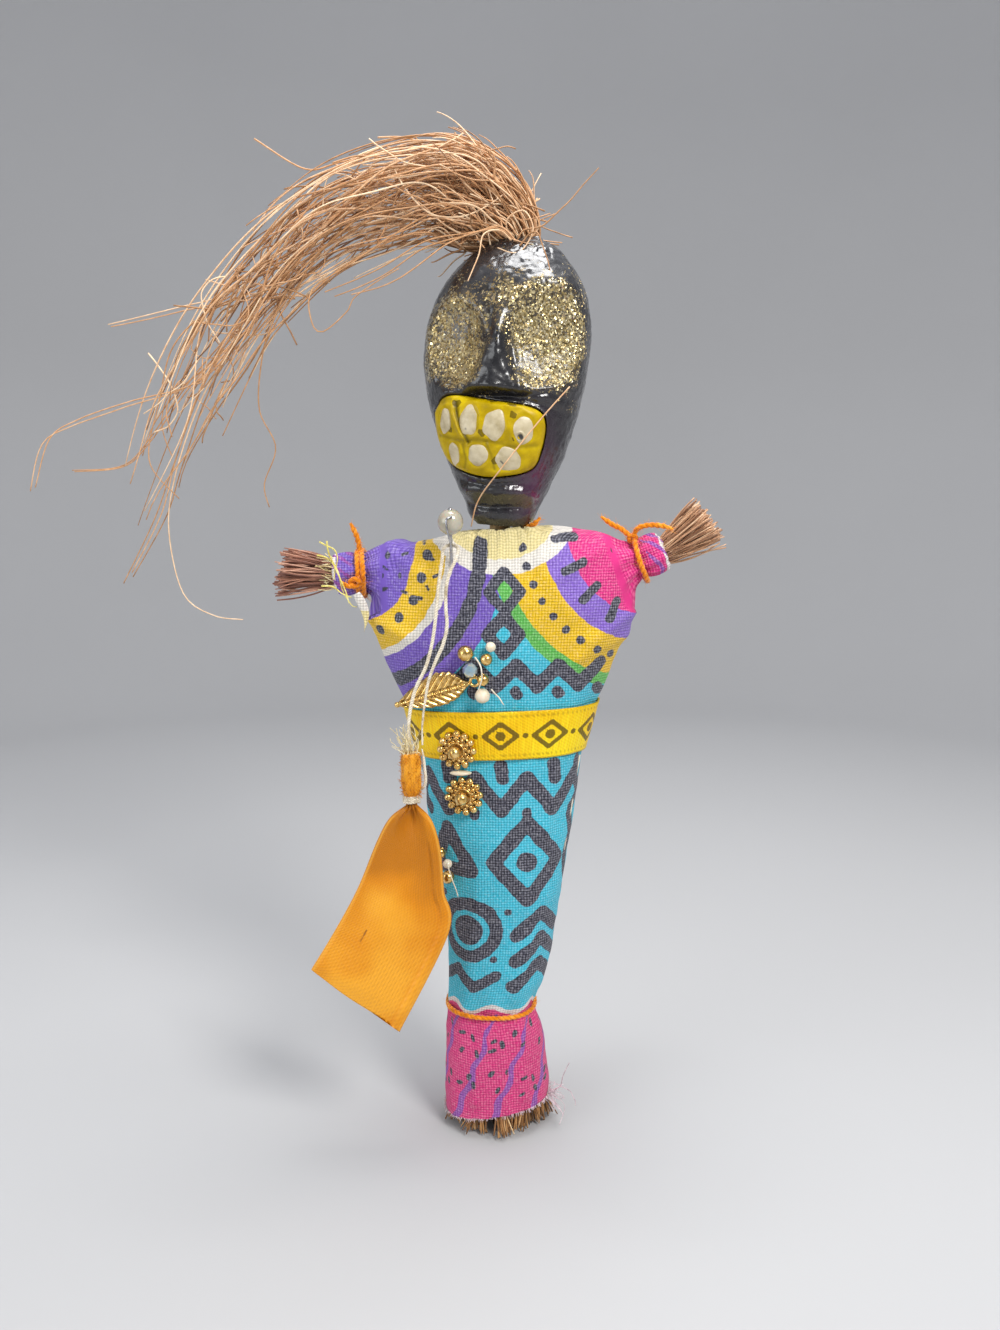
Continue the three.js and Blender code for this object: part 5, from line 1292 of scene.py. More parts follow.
# Loose threads over the left cuff, with the depth of each and its places across and up
CUFF_THREADS = [(-6.0, [(-32.6, 121.6), (-32.3, 119.2), (-30.7, 115.8), (-29.8, 111.9), (-28.3, 109.4),
                        (-27.2, 109)]),
                (-5.4, [(-34.1, 121.4), (-33, 120.8), (-30.7, 119.4), (-30.4, 117.2), (-31, 115.2)]),
                (-6.2, [(-33.8, 113.1), (-31.5, 112.9), (-30, 111.2), (-28, 110.8)]),
                (-6.4, [(-31.6, 117.6), (-30.2, 114.6), (-29.2, 112.2), (-28.6, 110)]),
                (-5.6, [(-34.6, 118.9), (-32.6, 118.4), (-31.2, 116.6), (-31.4, 114.4)])]


def thin_threads(name, routes, radius, material, seed, slot, steps=36, size=0.12, body="doll"):
    parts, random = Parts(), np.random.default_rng(seed)
    for number, line in enumerate(routes):
        line = even_line(line, steps) + wobble(1, steps, size, seed + number)[0]
        parts.add(tubes(line, radius * (1 - 0.35 * np.linspace(0, 1, steps)), 5), random.uniform(0.3, 0.9))
    parts.piece("tint", name, material, slot, body=body, groove=0 * np.concatenate(parts.marks))


def make_cuff_trim(straw, cream, cloth_look):
    routes = [[(x, y, z) for x, z in places] for y, places in CUFF_THREADS]
    thin_threads("cuff_threads", routes, 0.17, cream, 71, "thread")
    random, routes = np.random.default_rng(72), []
    for _ in range(46):
        a = random.uniform(0.4, 3.6)
        r = random.uniform(1.2, 3.3)
        start = np.array([-31.2, -0.6 - r * math.sin(a * 0.8), 115.2 + r * math.cos(a)])
        tip = start + [-random.uniform(1.8, 4.2), -random.uniform(0.2, 1.4), random.uniform(-0.6, 1.8)]
        routes.append([start, (start + tip) / 2 + random.normal(0, 0.3, 3), tip])
    thin_threads("cuff_straw", routes, 0.14, straw, 73, "bristle", 12, 0.1)
    t, across = np.linspace(0, 1, 26)[:, None], np.linspace(-1, 1, 12)
    half = 0.72 * np.sin(np.pi * np.clip(0.12 + 0.88 * t, 0, 1) ** 0.62) + 0.07
    x = -27.1 + 1.9 * np.sin(2.2 * t) - 0.3 * t + across * half
    y = -7.1 - 0.5 * np.cos(across * 1.3) * (1 - t) + 0.9 * t
    front = np.stack([x, y, 111.8 - 7.2 * t + 0.3 * across], axis=-1)
    form = closed_grid(np.concatenate([front, front[:, ::-1] + np.array([0, 0.3, 0])], axis=1))
    points = form[0]
    values = {name: np.full(len(points), 2.0 if name == "band_9" else -2.0) for name, _ in PRINT_ZONES}
    values["band_10"] = 108.6 - points[:, 2]
    piece("frayed_strip", form, cloth_look, "cloth", weave=points[:, [0, 2, 1]] * np.array([1, 1, 0]),
          ink=np.full(len(points), -3.0), **values)


def circle(middle, way, radius, count, wave=0.0, lap=0.0):
    """Closed line round a way, a little uneven."""
    depth, breadth = cross_axes(unit(way))
    turn = around(count)
    r = radius * (1 + wave * np.cos(3 * turn + 1))
    lift = unit(way) * (lap * np.cos(2 * turn))[:, None]
    return middle + wheel(turn, breadth, depth) * r[:, None] + lift, True


def strand(start, count, *steps):
    """Open line from a place through others measured from it."""
    return even_line([start, *(start + np.array(step) for step in steps)], count), False


def knot(middle, radius, turns=2.2, tilt=0.0):
    """Small loops of yarn that cross over each other in a knot."""
    t = np.linspace(0, 1, 46)
    a = 2 * np.pi * turns * t + tilt
    loops = np.stack([np.cos(a), -0.55 * np.cos(0.5 * a) - 0.3, np.sin(a) * 0.8], axis=1)
    return middle + radius * loops * (1 - 0.2 * t[:, None]), False


YARN_RADIUS = 0.5
TIE_RADIUS = 3.5 + CLEARANCE + YARN_RADIUS


def make_ties(material):
    tie, way, _, _ = arm_frame(ARMS["left"])
    low_knot = tie + np.array([-0.6, -TIE_RADIUS, -1.6])
    runs = [circle(tie + way * 0.35, way, TIE_RADIUS - 0.1, 150, 0.02, 0.15),
            circle(tie - way * 0.6, way, TIE_RADIUS + 0.15, 150, -0.02, 0.2),
            strand(tie + np.array([0, -1.4, TIE_RADIUS]), 46, (-0.4, -0.3, 2.6), (-1.6, -0.6, 5.4)),
            strand(low_knot, 24, (-1.2, -0.8, -0.6), (-2.6, -0.9, 0.3)), knot(low_knot, 1.0)]
    yarn_piece("left_tie", "arm_tie_left", runs, YARN_RADIUS, material, 81, per_mm=9)
    tie, way, _, _ = arm_frame(ARMS["right"])
    start = tie + np.array([-1.5, -1.4, TIE_RADIUS - 0.2])
    runs = [circle(tie, way, TIE_RADIUS, 150, 0.03, 0.25),
            strand(start, 60, (-2.2, -0.4, 1.8), (-4, -0.4, 2.7), (-6.2, -0.2, 4.2)),
            strand(start, 70, (0.8, -0.6, 1.9), (3, -1, 2.6), (5.6, -1.6, 2.4), (7.4, -2.2, 1.8)),
            knot(start, 0.75, 1.6, 0.8)]
    yarn_piece("right_tie", "arm_tie_right", runs, YARN_RADIUS, material, 91, per_mm=8)
    turn = around(260)
    runs = [(body_point(ANKLE + 0.15 * np.sin(turn * 2), turn, -0.35), True),
            knot((1.8, 9.0, 26.2), 0.8, 1.6),
            (even_line([(2, 8.6, 26.3), (4.4, 9.6, 25.4), (6.2, 9.8, 23.2)], 30), False),
            (even_line([(1.4, 8.6, 26), (0.2, 9.8, 24.6), (-0.6, 10, 22.2)], 30), False)]
    yarn_piece("ankle_yarn", "ankle_tie", runs, YARN_RADIUS * 0.95, material, 101, per_mm=4, hair=0.8)
    tail = even_line([(2.9, -0.4, 122.9), (4.8, -2.2, 124), (6.4, -3.8, 124.7), (7.6, -4.6, 125.9)], 40)
    runs = [circle((0, 0, COLLAR - CLEARANCE - YARN_RADIUS), (0, 0, 1), 2.9, 90), (tail, False)]
    yarn_piece("neck_yarn", "neck_tie", runs, 0.55, material, 111, per_mm=9)


# Belt ribbon

BELT_PITCH = 9.2


def make_belt(material):
    steps, rows = 300, 22
    turn = np.linspace(0, 1, steps)
    angle = np.pi / 2 - BELT_LAP / 2 + turn * (2 * np.pi + BELT_LAP)
    lap = 2 * BELT_LAP / (2 * np.pi + BELT_LAP)
    rise = (BELT_THICK + CLEARANCE) * smooth(1 - lap, 1 - lap / 2, turn)
    across = np.linspace(-1, 1, rows)
    line = body_point(BELT, angle)
    low, high = (body_point(BELT + half + BELT_SLOPE * line[:, 0], angle)[:, None]
                 for half in (-BELT_WIDTH / 2, BELT_WIDTH / 2))
    share = (across[:, None] + 1) / 2
    middle = low * (1 - share) + high * share
    out = unit(np.stack([np.cos(angle) / 1.6, np.sin(angle), 0 * angle], axis=1))[:, None]
    run = run_along(line)[:, None]
    wave = 0.07 * np.sin(run * 0.55) * across ** 2 + 0.05 * np.sin(run * 1.3 + 1) * np.abs(across)
    lift = (CLEARANCE - 0.1 + rise[:, None] + wave + 0.1 * (1 - across ** 2))[..., None]
    outer = middle + out * (lift + 0.34 + 0.05 * (np.abs(across) > 0.9)[:, None])
    rings = np.concatenate([middle + out * lift, outer[:, ::-1]], axis=1)
    s, h = np.broadcast_arrays(run - run[-1] / 2, np.concatenate([across, across[::-1]]) * BELT_WIDTH / 2)
    local = (s + BELT_PITCH / 2) % BELT_PITCH - BELT_PITCH / 2
    ink = 0.42 - line_distance(local, h, [(-3.1, 0), (0, 2.5), (3.1, 0), (0, -2.5)], True)
    ink = np.maximum(ink, 0.95 - np.hypot(local, h))
    ink = np.maximum(ink, 0.55 - np.hypot(np.abs(local) - BELT_PITCH / 2, h))
    ink[:, :rows] = -2
    dashes = bell(np.abs(h) - 3.95, 0.16) * (0.5 + 0.5 * np.sign(np.sin(s * 2 * np.pi / 0.9)))
    selvedge = 0.7 * smooth(4.4, 4.7, np.abs(h))
    piece("satin_belt", closed_grid(rings), material, "belt", ("waist_ribbon",),
          weave=capped(np.stack([s, h, 0 * s], axis=-1)), ink=capped(ink, -2.0),
          edge=capped(np.maximum(dashes * 0.8, selvedge * 0.5)))


# Sewn trim

ROSETTES = [("rosette_upper", -7.8, -2.5, True), ("rosette_lower", -6.7, -11.9, False)]
ROSETTE_RADIUS, GRANULES, STUD_RADIUS, GRANULE = 3.2, 12, 1.25, 0.58
# Beads: name, place across and up from the belt, radius, the material and the way of the bore
BEADS = [("gold_bead_large", -6.2, 16.4, 1.5, "gold", (1, 0, 0.3)),
         ("gold_bead_upper", -2.5, 15.2, 1.15, "gold", (1, 0, -0.5)),
         ("cream_bead_upper", -1.7, 17.5, 0.95, "cream", (0.3, 0, 1)),
         ("glass_bead", -5.4, 13.2, 1.4, "glass", (0.4, 0, 1)),
         ("gold_bead_lower", -3.1, 11.4, 1.15, "gold", (0.1, -0.2, 1)),
         ("cream_bead_middle", -3.2, 8.4, 1.4, "cream", (0.9, 0, 0.4)),
         ("gold_bead_side", -10.8, -24, 1.1, "gold", (0.5, 0, 1)),
         ("cream_bead_low", -9.6, -26.1, 0.9, "cream", (0.8, 0, 0.6)),
         ("gold_bead_low", -9.3, -28.7, 1.3, "gold", (0.2, -0.1, 1))]
LEAF_TIP, LEAF_STEM = np.array([-19.3, -10.4, 91.1]), np.array([-5.6, -12.4, 95.6])
# Half widths of the leaf above and below its midrib, at shares of its length
LEAF_SHARES = [0, 0.05, 0.12, 0.22, 0.38, 0.58, 0.76, 0.92, 1]
LEAF_TOP = [0.34, 0.8, 2.1, 3.2, 3.7, 3.2, 2.2, 1.0, 0.3]
LEAF_LOW = [0.34, 0.6, 1.4, 2.2, 2.6, 2.4, 1.8, 0.9, 0.3]
DISC_BEAD = (-7.2, -7.2, 2.1, 0.5, 1)


def seat_on_cloth(x, from_belt, lift, span=None):
    """Place over the cloth's front and the way it faces, as the solids work it out."""
    low_at, high_at = span or (from_belt - 0.5, from_belt + 0.5)
    z, step = BELT + from_belt, 0.5
    spots = ((x - step, z), (x + step, z), (x, BELT + low_at), (x, BELT + high_at), (x, z))
    left, right, low, high, here = (float(body_front(*spot)) for spot in spots)
    slope = (high - low) / (high_at - low_at)
    out = unit([(right - left) / (2 * step), -1, slope])
    return np.array([x, min(here, low + slope * (from_belt - low_at)), z]) + out * lift, out


def rosette_seat(x, from_belt, over_belt, lift):
    middle, reach = (0, BELT_WIDTH / 2) if over_belt else (from_belt, ROSETTE_RADIUS)
    belt = BELT_THICK + CLEARANCE if over_belt else 0
    return seat_on_cloth(x, from_belt, CLEARANCE + belt + lift, (middle - reach, middle + reach))


def bead_form(middle, radius, bore_way, bore, segments=40, rows=26):
    start = math.asin(bore)
    lip = radius * math.cos(start) * 0.8
    outer = [(radius * math.sin(a), radius * math.cos(a)) for a in np.linspace(start, np.pi - start, rows)]
    inner = [(radius * bore * 0.8, -lip), (radius * bore * 0.8, lip)]
    return looped(lathe(outer + inner, segments, middle, turned_to(bore_way)))


def make_beads(looks):
    for name, x, rise, radius, kind, bore_way in BEADS:
        middle, _ = seat_on_cloth(x, rise, radius + CLEARANCE)
        faceted = kind == "glass"
        points, faces = bead_form(middle, radius, bore_way, 0.26, *((8, 5) if faceted else ()))
        if kind == "cream":
            points = middle + (points - middle) * (1 + 0.05 * lumps(points, 0.8, x)[:, None])
        bead = Parts().add((points, faces))
        bead.piece("cavity_shade", name + "_dressed", looks[kind], kind, (name,), flat=faceted)
    x, rise, wide, tall, deep = DISC_BEAD
    middle, _ = seat_on_cloth(x, rise, deep + CLEARANCE)
    points, faces = bead_form((0, 0, 0), 1.0, (0.02, 0, 1), 0.2, 44)
    points = points * np.array([wide, deep, tall]) * (1 + 0.05 * lumps(points, 0.5, 3)[:, None]) + middle
    piece("cream_disc", (points, faces), looks["cream"], "cream", ("cream_disc_bead",))


def make_rosette(name, x, from_belt, over_belt, material, number):
    middle, out = rosette_seat(x, from_belt, over_belt, GRANULE)
    axes, parts, step = turned_to(out, 0.13 * number), Parts(), np.pi / GRANULES

    def at(radius, turn, height):
        return middle + np.array([radius * math.cos(turn), radius * math.sin(turn), height]) @ axes

    for turn in 2 * step * np.arange(GRANULES):
        parts.add(ball(at(ROSETTE_RADIUS, turn, 0.05), 0.7, 20, 12))
        parts.add(ball(at(2.42, turn, 0.42), 0.36, 14, 9))
        parts.add(ball(at(1.9, turn + step, 0.62), 0.3, 12, 8))
        spot = at(2.62, turn + step, 0.3)
        parts.add(looped(lathe([(0.34, 0), (0.26, 0.12), (0.2, 0), (0.24, -0.1)], 14, spot, axes)))
        # Painted shade: each hole is a small plug marked fully dark.
        hole = [(0.001, 0.04), (0.23, 0.04), (0.23, -0.1), (0.001, -0.1)]
        parts.add(closed_grid(lathe(hole, 12, spot, axes)), 1.0)
    # Painted shade: the disc under the granules is marked a quarter dark, for the shade between them.
    disc = [(0.001, -0.5), (2.9, -0.5), (3.05, -0.2), (3.0, 0.1), (2.2, 0.22), (1.7, 0.3), (1.55, 0.3),
            (0.001, 0.3)]
    parts.add(closed_grid(lathe(disc, 72, middle, axes)), 0.25)
    cup = [(1.5, 0.25), (1.72, 0.62), (1.66, 0.86), (1.5, 0.9), (1.36, 0.7), (1.3, 0.3)]
    parts.add(looped(lathe(cup, 60, middle, axes)))
    parts.piece("cavity_shade", name + "_dressed", material, "gold", (name,))
    stud, _ = rosette_seat(x, from_belt, over_belt, GRANULE + 0.3 + CLEARANCE + STUD_RADIUS)
    stud_part = Parts().add(ball(stud, STUD_RADIUS, 44, 28))
    stud_part.piece("cavity_shade", name + "_ball", material, "gold", (name + "_stud",))


def make_leaf(material):
    """Cast leaf: slanted flutes on both halves, a beaded midrib, and a stem with its loop."""
    way, length = unit(LEAF_TIP - LEAF_STEM), np.linalg.norm(LEAF_TIP - LEAF_STEM)
    up = unit(np.array([0, 0, 1]) - way * way[2])
    out = np.cross(up, way)
    s, across = np.linspace(0, 1, 170)[:, None], np.linspace(-1, 1, 61)
    blade = smooth(0.02, 0.1, s) * smooth(1.0, 0.93, s)
    top, low = np.interp(s, LEAF_SHARES, LEAF_TOP), np.interp(s, LEAF_SHARES, LEAF_LOW)
    off = np.abs(across) * np.where(across > 0, top, low)
    flute = (s * length + off * 1.05) / 1.5
    ridge = np.abs(np.sin(np.pi * flute))
    crown = 0.75 * (1 - np.abs(across) ** 2.2) ** 0.5 + blade * (
        0.42 * ridge * smooth(0.25, 0.5, off) * smooth(1.0, 0.8, np.abs(across)))
    crown += 0.3 * bell(off, 0.26) * blade * (1 + 0.35 * np.sin(s * length * 2 * np.pi / 0.45))
    crown -= 0.16 * bell(off - 0.45, 0.13) * blade
    rise = (np.sign(across) * off * (1 + 0.025 * np.sin(2 * np.pi * flute) * blade))[..., None]
    bow = 0.075 * np.sin(np.pi * s)
    spine = LEAF_STEM + way * (length * s)[..., None]
    front = spine + up * rise + out * (crown + bow)[..., None]
    back = spine + up * rise * 0.96 + out * (bow - 0.12)[..., None]
    # Painted shade: darker in the valleys between the flutes and in the groove beside the midrib.
    dark = blade * (0.7 * (1 - ridge) ** 4 * smooth(0.3, 0.6, off) + 0.5 * bell(off - 0.45, 0.14))
    parts = Parts()
    parts.add(closed_grid(np.concatenate([front, back[:, ::-1]], axis=1)),
              capped(np.concatenate([np.clip(dark, 0, 1), 0 * dark], axis=1)))
    loop = LEAF_STEM - way * 0.9 + 0.8 * wheel(around(40), up, way)
    parts.add(twisted(loop, 0.3, 1, 4.0, 12, True)[0])
    parts.add(ball(LEAF_TIP + out * 0.3, 0.55, 20, 12))
    parts.piece("cavity_shade", "cast_leaf", material, "gold", ("leaf_charm",))


# Pin and its pearl

PIN_WAY = unit([0, -0.3, 0.95])
PIN_REACH, PIN_BURIED, PIN_RADIUS, PEARL_RADIUS = 6.6, 19, 0.3, 2.35
# The wire that holds the pearl, from its middle
PIN_HOOK = [(0.2, -2.35, 0.9), (-0.5, -2.75, 0.5), (-0.55, -2.7, -0.9), (-0.2, -2.0, -2.6), (0.1, -0.9, -4.2),
            (0.05, -0.1, -5.6)]


def make_pin(steel, pearl):
    entry = np.array([-9, float(body_front(-9, COLLAR - 6.9)), COLLAR - 6.9])
    share = np.linspace(0, 4, 40)
    runs = [-PIN_BURIED, 1.5 - PIN_BURIED, 0, PIN_REACH, PIN_REACH + 2 * PEARL_RADIUS + 0.25]
    line = entry + PIN_WAY * np.interp(share, np.arange(5), runs)[:, None]
    radii = np.interp(share, [0, 1, 4], [0.04, PIN_RADIUS, PIN_RADIUS])
    middle = entry + PIN_WAY * (PIN_REACH + PEARL_RADIUS)
    hook = even_line(middle + np.array(PIN_HOOK), 60)
    form = join_parts([tubes(line, radii, 20), tubes(hook, 0.2, 14), ball(hook[0], 0.27, 16, 10)])
    piece("steel_pin", form, steel, "steel", ("pin_shaft",), "pin")
    points, faces = bead_form(middle, PEARL_RADIUS, PIN_WAY, 0.16, 64)
    points = middle + (points - middle) * (1 + 0.008 * lumps(points, 1.6, 4)[:, None])
    piece("pearl_head", (points, faces), pearl, "pearl", ("pin_pearl",), "pin")


# Pouch: a wide satin ribbon gathered at its neck and wound with thread

POUCH_TIE, POUCH_HINGE, POUCH_MIDDLE, POUCH_DEPTH = 74.3, 84.4, -16.35, -16.9
POUCH_NECK_TOP, NECK_RADIUS, WRAP_RADIUS = POUCH_HINGE - 1, 1.8, 0.95
POUCH_LEFT = [(-17.4, 0.9), (-20.5, 3.3), (-23, 7.9), (-26.8, 17.1), (-31.3, 25.5), (-36, 33.3)]
POUCH_RIGHT = [(-15.3, 0.9), (-12.6, 3.7), (-11, 9.5), (-10.4, 17.5), (-9.6, 25.8), (-19.2, 45.9)]
NECK_ROWS = [(POUCH_TIE, WRAP_RADIUS), (POUCH_TIE + 0.9, 1.25), (POUCH_TIE + 2, 1.66),
             (POUCH_NECK_TOP - 3, 1.8), (POUCH_NECK_TOP - 0.6, 1.7), (POUCH_NECK_TOP, 1.45)]
# Folds of the pouch: height, place across, its slant, width, place along and length
POUCH_FOLDS = [(0.75, 0.2, 0.1, 0.12, 0.2, 0.2), (-0.7, 0.5, 0, 0.16, 0.18, 0.13),
               (0.8, 0.83, 0, 0.1, 0.2, 0.18), (0.55, 0.35, 0, 0.2, 0.72, 0.2),
               (-0.6, 0.62, 0, 0.14, 0.55, 0.25)]


def round_neck(radius, turn, z, *more):
    """Places round the pouch's neck, with more numbers for each."""
    places = (POUCH_MIDDLE + radius * np.cos(turn), POUCH_DEPTH + radius * np.sin(turn), z, *more)
    return np.stack(np.broadcast_arrays(*places), axis=-1)


def make_pouch(material):
    t, lane = np.concatenate([np.linspace(0, 0.985, 130), [0.993, 1.0]])[:, None], np.linspace(0, 1, 60)
    left, right = spline(POUCH_LEFT, t[:, 0]), spline(POUCH_RIGHT, t[:, 0])
    flat = smooth(0, 0.3, t)
    share = 0.004 + 0.992 * ((0.5 - 0.5 * np.cos(np.pi * lane)) * (1 - flat) + lane * flat)
    thick = (WRAP_RADIUS * (1 - flat) + 0.62 * flat) * (0.35 + 0.65 * smooth(1.0, 0.94, t))
    hump = 2 * np.sqrt(share * (1 - share))
    puff = thick * (np.minimum(1, hump * 2.2) * flat * 0.8 + hump * (1 - flat * 0.8))
    wide = np.linalg.norm(right - left, axis=1)[:, None]
    from_left, from_right = share * wide, (1 - share) * wide
    gathers = 0.36 * np.cos(share * np.pi * 9 + 0.6) + 0.24 * np.cos(share * np.pi * 15 + 2)
    gathers *= bell(t - 0.06, 0.13)
    folds = 0
    for height, across, slant, width, along, length in POUCH_FOLDS:
        folds = folds + height * bell(share - across - slant * t, width) * bell(t - along, length)
    folds = (folds + 0.35 * np.sin(share * 7 + t * 5)) * smooth(0, 0.1, t)
    hem = (0.34 * smooth(2.1, 1.75, from_right) - 0.2 * bell(from_right - 2.25, 0.25)) * smooth(0.3, 0.42, t)
    x = left[:, :1] * (1 - share) + right[:, :1] * share
    z = POUCH_TIE - (left[:, 1:] * (1 - share) + right[:, 1:] * share)
    # Painted shade: a dark line where a small slit cuts the ribbon.
    nick = 0.16 - line_distance(x, z, [(-26.4, 47), (-25.1, 49.3)])
    edge = 0.7 * np.maximum(bell(from_left - 0.35, 0.22), bell(from_right - 0.3, 0.2)) * smooth(0.08, 0.2, t)
    sides = []
    for side, turned, pull, ink in ((-1, hem, 0.8, nick), (1, 0, 0.5, -2)):
        y = POUCH_DEPTH + side * (puff + turned) - folds * 0.85 - gathers * pull
        values = np.broadcast_arrays(x, y, z, share * 21, t * 44, side, ink, edge)
        sides.append(np.stack(values, axis=-1)[:, ::-side])
    neck_z = np.concatenate([[POUCH_NECK_TOP - 0.4], np.linspace(POUCH_NECK_TOP, POUCH_TIE, 44)])[:, None]
    radius = through(NECK_ROWS, 1, neck_z)
    radius[0] = 0.5
    turn = np.concatenate([np.pi + lane * np.pi, lane * np.pi])
    radius = radius * (1 + 0.045 * np.cos(7 * turn + 0.5 * neck_z) + 0.04 * np.cos(4 * turn - 1.7 * neck_z))
    neck = round_neck(radius, turn, neck_z, turn * 3.2, 32 + (neck_z - POUCH_TIE) * 0.98, 0, -2, 0)
    grid = np.concatenate([neck, np.concatenate(sides, axis=1)])
    pouch = piece("satin_pouch", closed_grid(grid[..., :3]), material, "pouch", ("pouch_ribbon",), "pouch",
                  weave=capped(grid[..., 3:6]), ink=capped(grid[..., 6], -2.0), edge=capped(grid[..., 7]))


def short_hairs(random, start, out, least, most, curl):
    """Lines of short hairs that leave their places in given ways."""
    count, share = len(start), np.linspace(0, 1, 4)[None, :, None]
    reach = random.uniform(least, most, count)[:, None, None]
    return start[:, None] + out[:, None] * reach * share + random.normal(0, curl, (count, 1, 3)) * share ** 2


def make_pouch_trim(thread, orange, straw):
    turn = np.linspace(0, 2 * np.pi * 3.3, 220)
    rise = np.interp(turn, [0, turn[-1]], [-0.3, 1.1])
    wrap = round_neck(WRAP_RADIUS + CLEARANCE + 0.12, turn, POUCH_TIE + rise)
    beside = POUCH_MIDDLE + NECK_RADIUS + CLEARANCE + THREAD_DIAMETER / 2
    side = even_line([wrap[-1], (beside, POUCH_DEPTH, POUCH_TIE + 2.8),
                      (beside, POUCH_DEPTH, POUCH_NECK_TOP - 2.4),
                      (beside - 0.4, POUCH_DEPTH, POUCH_HINGE - CLEARANCE)], 60)
    yarn_piece("neck_wrap", "pouch_tie", [(wrap, False), (side, False)], 0.3, thread, 121, 3, 1.5, 2, 0.6, 12,
               "thread", "pouch")
    random, count = np.random.default_rng(131), 900
    z = random.uniform(POUCH_TIE + 1.2, POUCH_NECK_TOP + 0.2, count)
    turn = random.uniform(0, 2 * np.pi, count)
    out = unit(np.stack([np.cos(turn), np.sin(turn), random.normal(0, 0.9, count)], axis=1))
    lines = short_hairs(random, round_neck(1.55, turn, z), out, 0.25, 0.8, 0.2)
    form = tubes(lines, 0.05 * np.linspace(1, 0.5, 4), 3)
    size = len(form[0])
    piece("neck_lint", form, orange, "pouch", body="pouch", weave=np.zeros((size, 3)),
          ink=np.full(size, -2.0), edge=np.zeros(size))
    routes = []
    for _ in range(40):
        foot = round_neck(1.1, random.uniform(0, 2 * np.pi), POUCH_NECK_TOP - 1.2)
        rise = random.uniform(2.2, 6.4)
        lean = np.array([random.normal(-0.08, 0.2), random.normal(-0.05, 0.12), 1.0])
        curl = random.normal(0, 1.1, 3) * np.array([1, 0.4, 0.3])
        routes.append([foot, foot + lean * rise * 0.5, foot + lean * rise + curl])
    thin_threads("frayed_neck", routes, 0.08, straw, 141, "thread", 20, 0.25, "pouch")


# Hem, seam and stray ends of the cloth

HEM_STRAYS = [[(10.4, -3.4, 7.2), (12.4, -4.4, 9.4), (13.4, -4.8, 12.4), (14.6, -5, 15.2)],
              [(10.6, -2.6, 6.8), (12.6, -3.4, 8.4), (14.4, -4, 7.6), (15.6, -4.2, 4.8)],
              [(10.2, -4, 6.2), (11.8, -5, 5.4), (13.2, -5.2, 3.4), (12.2, -5.4, 1.2)]]
BEAD_THREADS = [[(-10.6, -9.6, 60.2), (-9.7, -10.2, 57.6), (-8.9, -10.3, 55.2), (-8.2, -10, 52.8)],
                [(-4.6, -13.6, 100.6), (-3.6, -14.1, 99), (-3.4, -14.2, 96.8), (-4.2, -14, 94.4)],
                [(-1.6, -13.6, 94.6), (-0.4, -13.2, 93.2), (0.6, -12.9, 91.6)]]


def make_cloth_details(material, cream):
    random, count = np.random.default_rng(151), 520
    turn = random.uniform(0, 2 * np.pi, count)
    across = body_point(HEM, turn, -0.1)[:, 0]
    start = body_point(HEM + HEM_SLOPE * across + 0.15, turn, -0.05)
    out = unit(np.stack([np.cos(turn), np.sin(turn), random.normal(-1.6, 0.8, count)], axis=1))
    lines = short_hairs(random, start, out, 0.25, 0.75, 0.12)
    parts = Parts().add(tubes(lines, 0.06 * np.linspace(1, 0.6, 4), 3))
    for _ in range(26):
        start = np.array([10.3, -2.6, 7.4]) + [random.normal(0, size) for size in (0.3, 1.1, 0.9)]
        tip = start + [random.uniform(0.6, 3.2), random.normal(-0.4, 0.7), random.uniform(-4.6, 3.2)]
        middle = (start + tip) / 2 + random.normal(0, 0.7, 3)
        parts.add(tubes(even_line([start, middle, tip], 14), 0.06, 4))
    parts.piece("groove", "hem_lint", material, "cloth")
    routes = []
    for z in np.arange(31, 121, 2.6):
        if abs(z - BELT) >= 6:
            x, back = 0.25 * math.sin(z), float(through(BODY_ROWS, 2, z))
            sunk = back * 0.995 - 0.1
            routes.append([(x - 1.0, sunk, z - 0.6), (x, back + 0.42, z), (x + 1.0, sunk, z + 0.7)])
    thin_threads("back_stitches", routes, 0.2, cream, 161, "thread", 9, 0.0)
    z = np.arange(79.5, 58, -2.4)
    seam = [body_point(z, -0.36 + 0.05 * lane + 0.006 * (z - 70), 0.12) for lane in range(2)]
    thin_threads("side_seam", seam, 0.12, cream, 165, "thread", 60, 0.05)
    thin_threads("hem_strays", HEM_STRAYS, 0.11, material, 167, "thread", 24, 0.2)
    thin_threads("bead_threads", BEAD_THREADS, 0.16, cream, 171, "thread", 24, 0.05)


# Stage and lights

def make_stage():
    look = Look("studio_paper", Roughness=0.9, Specular_IOR_Level=0.1)
    paper = look.ramp(look.noise(3, 2), [(0.3, (0.49, 0.49, 0.495, 1)), (0.7, (0.52, 0.52, 0.525, 1))])
    wall, curve, height = 700, 260, 700
    turn = np.linspace(0, np.pi / 2, 24)
    profile = [(1, 0), *((wall - curve + curve * math.sin(a), curve - curve * math.cos(a)) for a in turn),
               (wall, height)]
    form = lathe(profile, 96).reshape(-1, 3), grid_faces(len(profile), 96).tolist()
    piece("paper_sweep", form, look.feed(Base_Color=paper), None, body=None)


def add_light(name, place, target, size, energy, colour=(1, 1, 1)):
    data = bpy.data.lights.new(name, "AREA")
    data.shape = "DISK"
    data.size = size * MM
    data.energy = energy
    data.color = colour
    light = bpy.data.objects.new(name, data)
    scene.collection.objects.link(light)
    light.location = Vector(place) * MM
    light.rotation_euler = (Vector(target) - Vector(place)).to_track_quat("-Z", "Y").to_euler()


